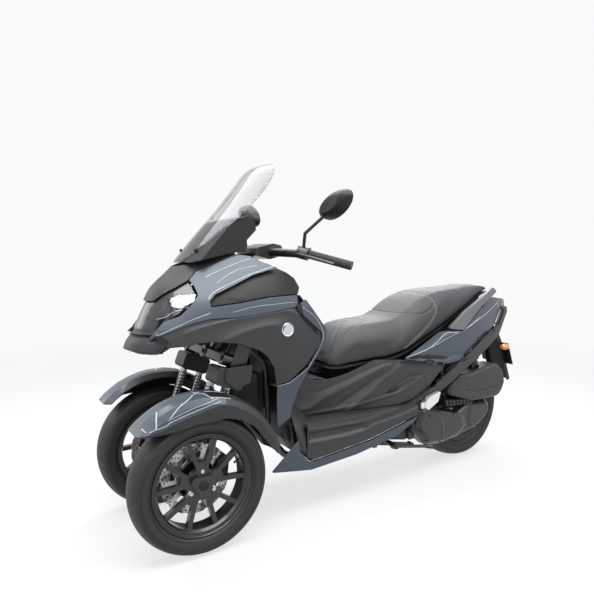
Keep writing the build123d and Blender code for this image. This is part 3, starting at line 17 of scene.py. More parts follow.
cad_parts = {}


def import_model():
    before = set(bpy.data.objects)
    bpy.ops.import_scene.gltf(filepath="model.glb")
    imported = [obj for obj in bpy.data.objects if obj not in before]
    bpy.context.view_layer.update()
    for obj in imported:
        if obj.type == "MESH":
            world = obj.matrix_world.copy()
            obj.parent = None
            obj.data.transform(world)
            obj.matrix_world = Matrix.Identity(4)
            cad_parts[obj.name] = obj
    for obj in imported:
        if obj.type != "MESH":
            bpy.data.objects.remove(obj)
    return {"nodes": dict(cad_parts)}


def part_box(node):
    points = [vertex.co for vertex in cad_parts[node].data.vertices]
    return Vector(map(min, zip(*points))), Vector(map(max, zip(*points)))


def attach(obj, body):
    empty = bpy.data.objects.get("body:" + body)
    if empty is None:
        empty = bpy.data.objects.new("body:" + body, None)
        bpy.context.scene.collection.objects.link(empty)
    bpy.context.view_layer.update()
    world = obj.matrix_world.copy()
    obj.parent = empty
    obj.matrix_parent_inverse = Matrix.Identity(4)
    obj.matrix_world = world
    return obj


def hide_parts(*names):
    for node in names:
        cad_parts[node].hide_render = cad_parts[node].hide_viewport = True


LOG = logging.getLogger("trike")
SIDES = {1: "left", -1: "right"}

Colour = tuple[float, float, float]
Point = tuple[float, float, float]
Corners = tuple[tuple[float, float], ...]
Piece = bpy.types.Object
Socket = bpy.types.NodeSocket
Shapes = dict[str, Piece]

FLAKE_REACH = 0.25
FLAKE_SHARE = 0.35
# How much lighter the flakes are painted: a painted glint on real flakes.
FLAKE_GLINT = 2.2
THIN = 0.0006
STRIP_STEP = 0.005


class Pattern(Enum):
    """Fine surface patterns that a finish can carry."""

    GRAIN = "grain"
    FLAKE = "flake"
    CAST = "cast"
    BRUSHED = "brushed"
    LEATHER = "leather"
    SMOOTH = "smooth"


def maths(kind: str, swapped: bool = False) -> Callable[..., Number]:
    """An operator of Number that adds one Math node.

    Args:
        kind: Operation of the node.
        swapped: Puts the other value first.

    Returns:
        The operator.
    """

    def operator(self: Number, other: Number | float = 0.0) -> Number:
        """One Math node on this value and another.

        Args:
            other: The other value.

        Returns:
            The node's result.
        """
        first, second = (other, self) if swapped else (self, other)
        node = self.graph.node("ShaderNodeMath", {"operation": kind}, {0: first, 1: second})
        return Number(self.graph, node.outputs[0])

    return operator


@dataclass
class Number:
    """A number on a shader socket that takes part in expressions."""

    graph: Graph
    socket: Socket
    __add__ = __radd__ = maths("ADD")
    __sub__ = maths("SUBTRACT")
    __rsub__ = maths("SUBTRACT", True)
    __mul__ = __rmul__ = maths("MULTIPLY")
    __truediv__ = maths("DIVIDE")
    __pow__ = maths("POWER")
    __gt__ = maths("GREATER_THAN")
    __lt__ = maths("LESS_THAN")
    larger = maths("MAXIMUM")
    angle_over = maths("ARCTAN2")
    sine = maths("SINE")
    size = maths("ABSOLUTE")
    part = maths("FRACT")

    def step(self, low: float, high: float) -> Number:
        """Smooth rise from 0 at low to 1 at high."""
        node = self.graph.node("ShaderNodeMapRange", {"interpolation_type": "SMOOTHSTEP"},
                               {"Value": self, "From Min": low, "From Max": high})
        return Number(self.graph, node.outputs[0])


class Graph:
    """The node tree of one material."""

    def __init__(self, name: str) -> None:
        """Starts a material with one Principled shader.

        Args:
            name: Name of the material.
        """
        self.material = bpy.data.materials.new(name)
        self.material.use_nodes = True
        self.nodes = self.material.node_tree.nodes
        self.links = self.material.node_tree.links
        self.shader = next(n for n in self.nodes if n.type == "BSDF_PRINCIPLED")

    def node(self, kind: str, settings: dict, values: dict) -> bpy.types.Node:
        """Adds a node.

        Args:
            kind: Type name of the node.
            settings: Attributes that are set before its sockets.
            values: Socket name or number to a plain value, Number or socket.

        Returns:
            The new node.
        """
        node = self.nodes.new(kind)
        for name, value in settings.items():
            setattr(node, name, value)
        for name, value in values.items():
            self.feed(node.inputs[name], value)
        return node

    def feed(self, socket: Socket, value: object) -> None:
        """Links or sets one socket.

        Args:
            socket: The socket.
            value: A plain value, a colour, a Number or another socket.
        """
        if isinstance(value, Number):
            self.links.new(value.socket, socket)
        elif isinstance(value, Socket):
            self.links.new(value, socket)
        elif isinstance(value, tuple) and len(value) == 3 and socket.type == "RGBA":
            socket.default_value = (*value, 1.0)
        else:
            socket.default_value = value

    def give(self, name: str, value: object) -> None:
        """Links or sets one socket of the shader."""
        self.feed(self.shader.inputs[name], value)

    def place(self, centre: Point = (0.0, 0.0, 0.0), scale: Point = (1.0, 1.0, 1.0)) -> Socket:
        """Object coordinates about a centre.

        Args:
            centre: Point in metres that becomes the origin.
            scale: Stretch of the three directions.

        Returns:
            The vector socket.
        """
        where = self.node("ShaderNodeTexCoord", {}, {})
        moved = self.node("ShaderNodeVectorMath", {"operation": "SUBTRACT"},
                          {0: where.outputs["Object"], 1: centre})
        return self.node("ShaderNodeMapping", {}, {"Vector": moved.outputs[0], "Scale": scale}).outputs[0]

    def parts(self, vector: Socket) -> tuple[Number, Number, Number]:
        """The three numbers of a vector."""
        split = self.node("ShaderNodeSeparateXYZ", {}, {0: vector})
        return tuple(Number(self, out) for out in split.outputs[:3])

    def noise(self, vector: Socket, scale: float, detail: float = 3.0, rough: float = 0.55) -> Number:
        """Soft noise from 0 to 1.

        Args:
            vector: Coordinates.
            scale: Cells per metre.
            detail: Octaves.
            rough: Weight of the finer octaves.

        Returns:
            The noise value.
        """
        made = self.node("ShaderNodeTexNoise", {},
                         {"Vector": vector, "Scale": scale, "Detail": detail, "Roughness": rough})
        return Number(self, made.outputs[0])

    def cells(self, vector: Socket, scale: float, feature: str = "F1") -> Number:
        """Distance field of a cell pattern."""
        made = self.node("ShaderNodeTexVoronoi", {"feature": feature}, {"Vector": vector, "Scale": scale})
        return Number(self, made.outputs[0])

    def blend(self, factor: Number | float, first: object, second: object) -> Socket:
        """A colour between two.

        Args:
            factor: 0 gives the first, 1 the second.
            first: Colour or socket.
            second: Colour or socket.

        Returns:
            The mixed colour's socket.
        """
        mix = self.node("ShaderNodeMix", {"data_type": "RGBA"}, {})
        self.feed(mix.inputs[0], factor)
        self.feed(mix.inputs[6], first)
        self.feed(mix.inputs[7], second)
        return mix.outputs[2]

    def bump(self, height: Number, distance: float, edge: float = 0.0) -> None:
        """Feeds a bump to the shader's normal.

        Args:
            height: Height pattern from 0 to 1.
            distance: Depth of the pattern in metres.
            edge: Radius in metres that softens the edges, or 0.
        """
        made = self.node("ShaderNodeBump", {}, {"Height": height, "Distance": distance})
        if edge:
            soft = self.node("ShaderNodeBevel", {"samples": 4}, {"Radius": edge})
            self.feed(made.inputs["Normal"], soft.outputs[0])
        self.give("Normal", made.outputs[0])

    def ramp(self, value: Number, stops: Corners) -> Number:
        """A level that changes in straight runs between stops.

        Args:
            value: Place on the ramp.
            stops: Place and level of each stop.

        Returns:
            The level.
        """
        made = self.node("ShaderNodeValToRGB", {}, {"Fac": value})
        elements = made.color_ramp.elements
        while len(elements) < len(stops):
            elements.new(0.5)
        for element, (position, level) in zip(elements, stops):
            element.position = position
            element.color = (level, level, level, 1.0)
        return Number(self, made.outputs[0])

    def polar(self, centre: Point) -> tuple[Number, Number, Number]:
        """Radius, angle and distance across for a wheel's own axis.

        Args:
            centre: Middle of the wheel.

        Returns:
            Radius in metres, angle in radians and distance from the middle plane without its sign.
        """
        x, y, z = self.parts(self.place(centre))
        return (x * x + z * z) ** 0.5, z.angle_over(x), y.size()


def shade(colour: Colour, factor: float) -> Colour:
    """The colour with its brightness scaled."""
    return tuple(min(1.0, c * factor) for c in colour)


@dataclass(frozen=True)
class Finish:
    """An opaque finish with colour drift, wear of the gloss and a fine pattern."""

    name: str
    colour: Colour
    roughness: float
    metallic: float = 0.0
    coat: float = 0.0
    coat_roughness: float = 0.04
    sheen: float = 0.0
    specular: float = 0.5
    pattern: Pattern = Pattern.GRAIN
    scale: float = 900.0
    depth: float = 0.0001
    drift: float = 0.10
    gloss_drift: float = 0.08
    edge: float = 0.0

    def make(self) -> bpy.types.Material:
        """The finish as a material."""
        graph = Graph(self.name)
        where = graph.place()
        drift = graph.noise(where, 7.0, 4.0)
        self.paint(graph, where, drift)
        graph.give("Roughness", drift * (2.0 * self.gloss_drift) + (self.roughness - self.gloss_drift))
        for socket, value in (("Metallic", self.metallic), ("Coat Weight", self.coat),
                              ("Coat Roughness", self.coat_roughness), ("Sheen Weight", self.sheen),
                              ("Specular IOR Level", self.specular)):
            graph.give(socket, value)
        height = self.height(graph, where)
        if height is not None:
            graph.bump(height, self.depth, self.edge)
        return graph.material

    def tone(self, graph: Graph, where: Socket, drift: Number) -> Socket:
        """The finish's own colour, with flakes where the pattern has them; the flakes are real, their glint
        is painted in as lighter spots.

        Args:
            graph: Material's tree.
            where: Coordinates.
            drift: Slow noise.

        Returns:
            The colour's socket.
        """
        mixed = graph.blend(drift, shade(self.colour, 1.0 - self.drift), shade(self.colour, 1.0 + self.drift))
        if self.pattern is Pattern.FLAKE:
            # Painted glint: real metal flakes shown as lighter spots of the colour.
            flake_glint = graph.cells(where, self.scale).step(FLAKE_REACH, 0.0)
            mixed = graph.blend(flake_glint * FLAKE_SHARE, mixed, shade(self.colour, FLAKE_GLINT))
        return mixed

    def paint(self, graph: Graph, where: Socket, drift: Number) -> None:
        """Feeds the base colour."""
        graph.give("Base Color", self.tone(graph, where, drift))

    def height(self, graph: Graph, where: Socket) -> Number | None:
        """The pattern's height field.

        Args:
            graph: Material's tree.
            where: Coordinates.

        Returns:
            The height from 0 to 1, or None on a smooth finish.
        """
        if self.pattern is Pattern.SMOOTH:
            return None
        if self.pattern is Pattern.GRAIN:
            return graph.cells(where, self.scale) * 0.6 + graph.noise(where, self.scale * 1.7, 2.0) * 0.4
        if self.pattern is Pattern.FLAKE:
            return graph.noise(where, 40.0, 2.0)
        if self.pattern is Pattern.CAST:
            return graph.noise(where, self.scale, 5.0, 0.7)
        if self.pattern is Pattern.BRUSHED:
            long = graph.place(scale=(0.04, 1.0, 1.0))
            return graph.noise(long, self.scale, 2.0)
        creases = graph.cells(where, self.scale, "DISTANCE_TO_EDGE").step(0.0, 0.12)
        return creases * 0.8 + graph.noise(where, self.scale * 2.5, 2.0) * 0.2


@dataclass(frozen=True)
class Glass:
    """A clear or tinted moulded lens or sheet."""

    name: str
    tint: Colour
    clearness: float
    roughness: float = 0.03
    ribs: float = 0.0
    rib_depth: float = 0.0006

    def make(self) -> bpy.types.Material:
        """The lens as a material."""
        graph = Graph(self.name)
        where = graph.place()
        haze = graph.noise(where, 12.0, 3.0)
        colour = graph.blend(haze, shade(self.tint, 0.92), shade(self.tint, 1.04))
        for socket, value in (("Base Color", colour), ("Roughness", haze * 0.03 + self.roughness),
                              ("Alpha", haze * 0.04 + (1.0 - self.clearness)), ("IOR", 1.5),
                              ("Coat Weight", 0.6)):
            graph.give(socket, value)
        if self.ribs:
            across = graph.parts(where)[1]
            graph.bump((across * self.ribs).sine() * 0.5 + 0.5, self.rib_depth)
        return graph.material


@dataclass(frozen=True)
class MudguardPaint(Finish):
    """Gloss paint on the front and crown of a mudguard, matt plastic on its skirt, rear and inner side."""

    matt: Colour = (0.021, 0.022, 0.024)
    rear_end: float = 0.783
    front_x: float = 0.76
    length: float = 0.36
    edge_blur: float = 0.0005
    crease_z: float = 0.56
    lower_edge: Corners = ((0.0, 0.562), (0.28, 0.545), (0.475, 0.527), (0.64, 0.508),
                           (0.72, 0.497), (0.85, 0.489), (1.0, 0.480))
    inner_edge: Corners = ((0.0, 0.226), (0.48, 0.222), (0.63, 0.203), (0.75, 0.176), (1.0, 0.160))

    def paint(self, graph: Graph, where: Socket, drift: Number) -> None:
        """Mixes the paint and the plastic by place.

        Args:
            graph: Material's tree.
            where: Coordinates.
            drift: Slow noise.
        """
        x, y, z = graph.parts(where)
        along = (x - self.front_x) / self.length
        painted = 1.0
        for inside in (z - graph.ramp(along, self.lower_edge), y.size() - graph.ramp(along, self.inner_edge),
                       x + (z - self.crease_z) * 0.9 - self.rear_end):
            painted = inside.step(-self.edge_blur, self.edge_blur) * painted
        plain = graph.blend(drift, shade(self.matt, 0.9), shade(self.matt, 1.1))
        graph.give("Base Color", graph.blend(painted, plain, self.tone(graph, where, drift)))
        graph.give("Coat Weight", painted * self.coat)
        graph.give("Metallic", painted * self.metallic)


@dataclass(frozen=True)
class WheelPaint(Finish):
    """Satin black casting with a brushed steel disc inside it, whose drilled holes are painted as dark spots
    of shade.
    """

    centre: Point = (0.863, 0.0, 0.262)
    disc_low: float = 0.1955
    disc_high: float = 0.2010
    disc_radius: float = 0.1345
    hub_radius: float = 0.050
    steel: Colour = (0.42, 0.42, 0.43)
    hole_rings: tuple[float, ...] = (0.110, 0.120, 0.1285)
    holes_round: int = 30
    hole_edge: float = 0.0036
    hole_radius: float = 0.0028
    hole_shade_colour: Colour = (0.008, 0.008, 0.008)

    def paint(self, graph: Graph, where: Socket, drift: Number) -> None:
        """Paints the casting, and the disc by its place in the wheel, with painted shade in the disc's holes.

        Args:
            graph: Material's tree.
            where: Coordinates.
            drift: Slow noise.
        """
        radius, angle, across = graph.polar(self.centre)
        disc = (across > self.disc_low) * (across < self.disc_high)
        disc = disc * (radius < self.disc_radius) * (radius > self.hub_radius)
        turned = graph.noise(graph.place(), 900.0, 2.0)
        bright = graph.blend(turned, shade(self.steel, 0.75), shade(self.steel, 1.15))
        holes = None
        for number, row in enumerate(self.hole_rings):
            turn = (angle * (self.holes_round / math.tau) + number / len(self.hole_rings)).part() - 0.5
            aside = turn * (math.tau * row / self.holes_round)
            hole = (((radius - row) ** 2 + aside * aside) ** 0.5).step(self.hole_edge, self.hole_radius)
            holes = hole if holes is None else holes.larger(hole)
        # Painted shade: the disc's holes are only dark spots in its colour.
        hole_shaded_disc = graph.blend(holes, bright, self.hole_shade_colour)
        graph.give("Base Color", graph.blend(disc, self.tone(graph, where, drift), hole_shaded_disc))
        graph.give("Metallic", disc)


@dataclass(frozen=True)
class TyreRubber(Finish):
    """Rubber with slanting tread grooves, shoulder cuts and rings on the sidewall."""

    centre: Point = (0.863, 0.235, 0.262)
    outer_radius: float = 0.262
    tread_depth: float = 0.030
    rings: tuple[float, ...] = (-0.062, -0.0575, -0.033, -0.0295)
    grooves: int = 26
    slant: float = 9.0
    groove_shade_colour: Colour = (0.004, 0.004, 0.004)

    def paint(self, graph: Graph, where: Socket, drift: Number) -> None:
        """Darkens the grooves with painted shade and greys the scuffed tread.

        Args:
            graph: Material's tree.
            where: Coordinates, not used.
            drift: Slow noise.
        """
        rubber = graph.blend(drift, shade(self.colour, 0.8), shade(self.colour, 1.35))
        # Painted shade: the grooves are darker than the rubber around them.
        graph.give("Base Color", graph.blend(self.cuts(graph), rubber, self.groove_shade_colour))

    def cuts(self, graph: Graph) -> Number:
        """Grooves of the tread.

        Args:
            graph: Material's tree.

        Returns:
            1 inside a groove, 0 outside.
        """
        radius, angle, _ = graph.polar((self.centre[0], 0.0, self.centre[2]))
        y = graph.parts(graph.place(self.centre))[1]
        turn = angle * (self.grooves / math.tau)
        across = y.size()
        first = ((turn + across * self.slant * 4.0).part() - 0.5).size()
        second = ((turn + 0.5 - across * self.slant * 2.5).part() - 0.5).size()
        wide = (first.step(0.075, 0.045)) * across.step(0.008, 0.012) * across.step(0.057, 0.050)
        short = (second.step(0.05, 0.03)) * across.step(0.034, 0.038)
        tread = (radius - (self.outer_radius - self.tread_depth)).step(-0.002, 0.004)
        return wide.larger(short) * tread

    def height(self, graph: Graph, where: Socket) -> Number | None:
        """Grooves, sidewall rings and fine grain as one height.

        Args:
            graph: Material's tree.
            where: Coordinates.

        Returns:
            The height from 0 to 1.
        """
        radius, _, _ = graph.polar((self.centre[0], 0.0, self.centre[2]))
        rings = None
        for inset in self.rings:
            line = (radius - (self.outer_radius + inset)).size().step(0.0011, 0.0004)
            rings = line if rings is None else rings.larger(line)
        grain = graph.noise(where, self.scale, 2.0)
        return (1.0 - self.cuts(graph)) * 0.8 + rings * 0.2 + grain * 0.02


@dataclass(frozen=True)
class CoverLeather(Finish):
    """Saddle cover whose lower sides are darker than its top."""

    side_shade: float = 0.55
    half_width: float = 0.185

    def paint(self, graph: Graph, where: Socket, drift: Number) -> None:
        """Mixes the top's and the sides' colours by the distance from the middle.

        Args:
            graph: Material's tree.
            where: Coordinates.
            drift: Slow noise.
        """
        across = graph.parts(where)[1].size() / self.half_width
        side = (across ** 3.0).step(0.45, 0.75)
        top = graph.blend(drift, shade(self.colour, 0.88), shade(self.colour, 1.12))
        graph.give("Base Color", graph.blend(side * 0.55, top, shade(self.colour, self.side_shade)))


@dataclass(frozen=True)
class NosePlastic(Finish):
    """Grained plastic on the beak, gloss black round the lamps above it."""

    gloss: Colour = (0.005, 0.005, 0.006)
    back_x: float = 0.84
    length: float = 0.20
    edge_line: Corners = ((0.0, 0.900), (0.35, 0.868), (0.65, 0.838), (0.85, 0.815), (1.0, 0.806))

    def paint(self, graph: Graph, where: Socket, drift: Number) -> None:
        """Parts the two finishes along the lower edge of the lamps.

        Args:
            graph: Material's tree.
            where: Coordinates.
            drift: Slow noise.
        """
        x, _, z = graph.parts(where)
        lamp = (z - graph.ramp((x - self.back_x) / self.length, self.edge_line)).step(-THIN, THIN)
        graph.give("Base Color", graph.blend(lamp, self.tone(graph, where, drift), self.gloss))
        graph.give("Coat Weight", lamp)


SLATE: Colour = (0.050, 0.064, 0.084)
DARK: Colour = (0.021, 0.022, 0.024)

FLAKED = {"metallic": 0.15, "pattern": Pattern.FLAKE, "scale": 2600.0, "depth": 0.00008, "drift": 0.05,
          "gloss_drift": 0.04, "edge": 0.003}

SLATE_PAINT = Finish("slate_paint", SLATE, 0.40, coat=0.30, coat_roughness=0.14, specular=0.35, **FLAKED)
MUDGUARD_PAINT = MudguardPaint("mudguard_paint", SLATE, 0.42, coat=0.45, coat_roughness=0.16, specular=0.4,
                               **FLAKED)
DARK_PLASTIC = Finish("dark_plastic", DARK, 0.50, scale=1400.0, depth=0.00006, edge=0.003)
BLACK_PLASTIC = Finish("black_plastic", (0.008, 0.008, 0.009), 0.48, specular=0.35, scale=1100.0,
                       depth=0.00008, edge=0.0015)
NOSE_PLASTIC = NosePlastic("nose_plastic", DARK, 0.50, scale=1400.0, depth=0.00006, edge=0.002)
GLOSS_BLACK = Finish("gloss_black", (0.006, 0.006, 0.007), 0.16, coat=0.6, pattern=Pattern.CAST, scale=60.0,
                     depth=0.00004)
FRONT_TYRE_LEFT = TyreRubber("tyre_front_left", (0.010, 0.010, 0.011), 0.58, scale=900.0, depth=0.0022)
FRONT_TYRE_RIGHT = replace(FRONT_TYRE_LEFT, name="tyre_front_right", centre=(0.863, -0.235, 0.262))
REAR_TYRE = replace(FRONT_TYRE_LEFT, name="tyre_rear", centre=(-0.732, 0.0, 0.276), outer_radius=0.276)
FRONT_WHEEL = WheelPaint("wheel_front", (0.010, 0.010, 0.011), 0.30, coat=0.25, pattern=Pattern.CAST,
                         scale=220.0, depth=0.00006, edge=0.0015)
REAR_WHEEL = replace(FRONT_WHEEL, name="wheel_rear", centre=(-0.732, 0.0, 0.276), disc_low=0.0, disc_high=0.0)
BLACK_PAINT = Finish("black_paint", (0.010, 0.010, 0.011), 0.33, coat=0.3, pattern=Pattern.CAST, scale=220.0,
                     depth=0.00008, edge=0.0012)
CASTING = Finish("fork_casting", (0.014, 0.0145, 0.016), 0.50, pattern=Pattern.CAST, scale=260.0,
                 depth=0.00012, edge=0.003)
CHROME = Finish("tube_chrome", (0.36, 0.37, 0.39), 0.20, metallic=1.0, pattern=Pattern.SMOOTH,
                gloss_drift=0.04)
ALLOY = Finish("bright_alloy", (0.74, 0.75, 0.76), 0.36, metallic=0.9, pattern=Pattern.CAST, scale=300.0,
               edge=0.0015)
BOLT = Finish("bolt_steel", (0.60, 0.60, 0.60), 0.26, metallic=1.0, pattern=Pattern.CAST, scale=600.0,
              depth=0.00003)
ENGINE_GREY = Finish("engine_casting", (0.10, 0.102, 0.105), 0.45, metallic=0.5, pattern=Pattern.CAST,
                     scale=240.0, depth=0.0002, edge=0.002)
CASE_GREY = Finish("case_paint", (0.014, 0.0145, 0.016), 0.34, coat=0.25, pattern=Pattern.CAST, scale=300.0,
                   depth=0.00006, edge=0.004)
BOX_PLASTIC = Finish("box_plastic", (0.026, 0.027, 0.029), 0.42, scale=1000.0, depth=0.00008, edge=0.004)
STEEL = Finish("silencer_steel", (0.20, 0.205, 0.21), 0.34, metallic=1.0, pattern=Pattern.BRUSHED,
               scale=500.0, edge=0.002)
GRIP = Finish("grip_rubber", (0.013, 0.013, 0.014), 0.68, scale=1500.0, depth=0.00015)
MIRROR = Finish("mirror_glass", (0.80, 0.82, 0.84), 0.02, metallic=1.0, pattern=Pattern.SMOOTH,
                gloss_drift=0.01)
RAIL = Finish("rail_casting", (0.17, 0.175, 0.18), 0.42, metallic=0.7, pattern=Pattern.CAST, scale=350.0,
              edge=0.004)
CORE = Finish("radiator_core", (0.03, 0.03, 0.03), 0.5, metallic=0.7, pattern=Pattern.BRUSHED, scale=900.0)
LEATHER = CoverLeather("seat_cover", (0.024, 0.026, 0.029), 0.48, sheen=0.06, pattern=Pattern.LEATHER,
                       scale=520.0, depth=0.00022, drift=0.14)
THREAD = Finish("thread", (0.50, 0.51, 0.52), 0.70, pattern=Pattern.BRUSHED, scale=3000.0, depth=0.0001)
# Pale lines: partly pinstripes, partly painted highlights along creases and edges.
STRIPE_AND_HIGHLIGHT = Finish("pale_stripe_and_highlight", (0.52, 0.54, 0.56), 0.35, coat=0.5, pattern=Pattern.CAST, scale=300.0,
              depth=0.00001)
SILVER = Finish("satin_silver", (0.58, 0.60, 0.62), 0.30, metallic=0.9, pattern=Pattern.BRUSHED, scale=900.0,
                depth=0.00002)
REFLECTOR = Finish("lamp_reflector", (0.88, 0.90, 0.93), 0.14, metallic=0.75, pattern=Pattern.LEATHER,
                   scale=70.0, depth=0.003, gloss_drift=0.05)
LENS = Glass("clear_lens", (0.10, 0.11, 0.12), 0.86)
SCREEN = Glass("screen_clear", (0.12, 0.13, 0.14), 0.66)
RED_LENS = Glass("red_lens", (0.40, 0.012, 0.012), 0.10, ribs=900.0)
AMBER_LENS = Finish("amber_lens", (0.80, 0.25, 0.02), 0.18, coat=0.8, pattern=Pattern.GRAIN, scale=350.0,
                    depth=0.0004)
# Black of labels and dark joints, also used as painted shadow on the vent's recessed floor.
LABEL_AND_SHADOW_BLACK = Finish("label_and_shadow_black", (0.005, 0.005, 0.006), 0.42, specular=0.25, pattern=Pattern.CAST, scale=300.0,
               depth=0.00002)
LAMP_WHITE = Finish("running_lamp", (0.92, 0.94, 0.97), 0.25, coat=0.8, pattern=Pattern.CAST, scale=300.0,
                    depth=0.00002)

NODE_FINISHES: dict[Finish | Glass, tuple[str, ...]] = {
    SLATE_PAINT: ("side_fairings", "leg_trims", "under_strips", "tail_panels"),
    MUDGUARD_PAINT: ("mudguard_left", "mudguard_right"),
    DARK_PLASTIC: ("top_cowl", "nose_cover", "lower_covers", "body_sides", "tail_spars", "tunnel", "fuel_lid",
                   "foot_boards"),
    BOX_PLASTIC: ("air_box",),
    BLACK_PLASTIC: ("fairing_pockets", "inner_shield", "dash", "meter_hood", "storage_box", "saddle_pan",
                    "splash_guard", "mirrors", "lamp_housing", "number_plate"),
    BLACK_PAINT: ("frame", "lean_linkage", "centre_stand", "side_stand", "handlebar", "rear_shocks"),
    FRONT_WHEEL: ("wheel_front_left", "wheel_front_right"),
    REAR_WHEEL: ("wheel_rear",),
    FRONT_TYRE_LEFT: ("tyre_front_left",),
    FRONT_TYRE_RIGHT: ("tyre_front_right",),
    REAR_TYRE: ("tyre_rear",),
    CASTING: ("fork_left", "fork_right"),
    CHROME: ("fork_tubes_left", "fork_tubes_right"),
    ALLOY: ("peg_left", "peg_right"),
    ENGINE_GREY: ("engine",),
    CASE_GREY: ("belt_case",),
    STEEL: ("exhaust",),
    GRIP: ("grips",),
    MIRROR: ("mirror_glasses",),
    RAIL: ("grab_rails",),
    CORE: ("radiator",),
    LEATHER: ("saddle_cushion",),
    LENS: ("headlight_lenses", "front_indicators"),
    SCREEN: ("windscreen",),
    RED_LENS: ("tail_lamp",),
    AMBER_LENS: ("rear_indicators",),
}


class Shop:
    """Materials made once and handed out by finish."""

    def __init__(self) -> None:
        """Starts with no material made."""
        self.made: dict[str, bpy.types.Material] = {}

    def material(self, finish: Finish | Glass) -> bpy.types.Material:
        """The material of a finish, made at its first use.

        Args:
            finish: The finish.

        Returns:
            Its material.
        """
        if finish.name not in self.made:
            self.made[finish.name] = finish.make()
        return self.made[finish.name]

    def dress(self, piece: Piece, finish: Finish | Glass) -> None:
        """Gives every slot of a piece the finish.

        Args:
            piece: The piece.
            finish: The finish.
        """
        material = self.material(finish)
        if not piece.material_slots:
            piece.data.materials.append(material)
        for slot in piece.material_slots:
            slot.material = material


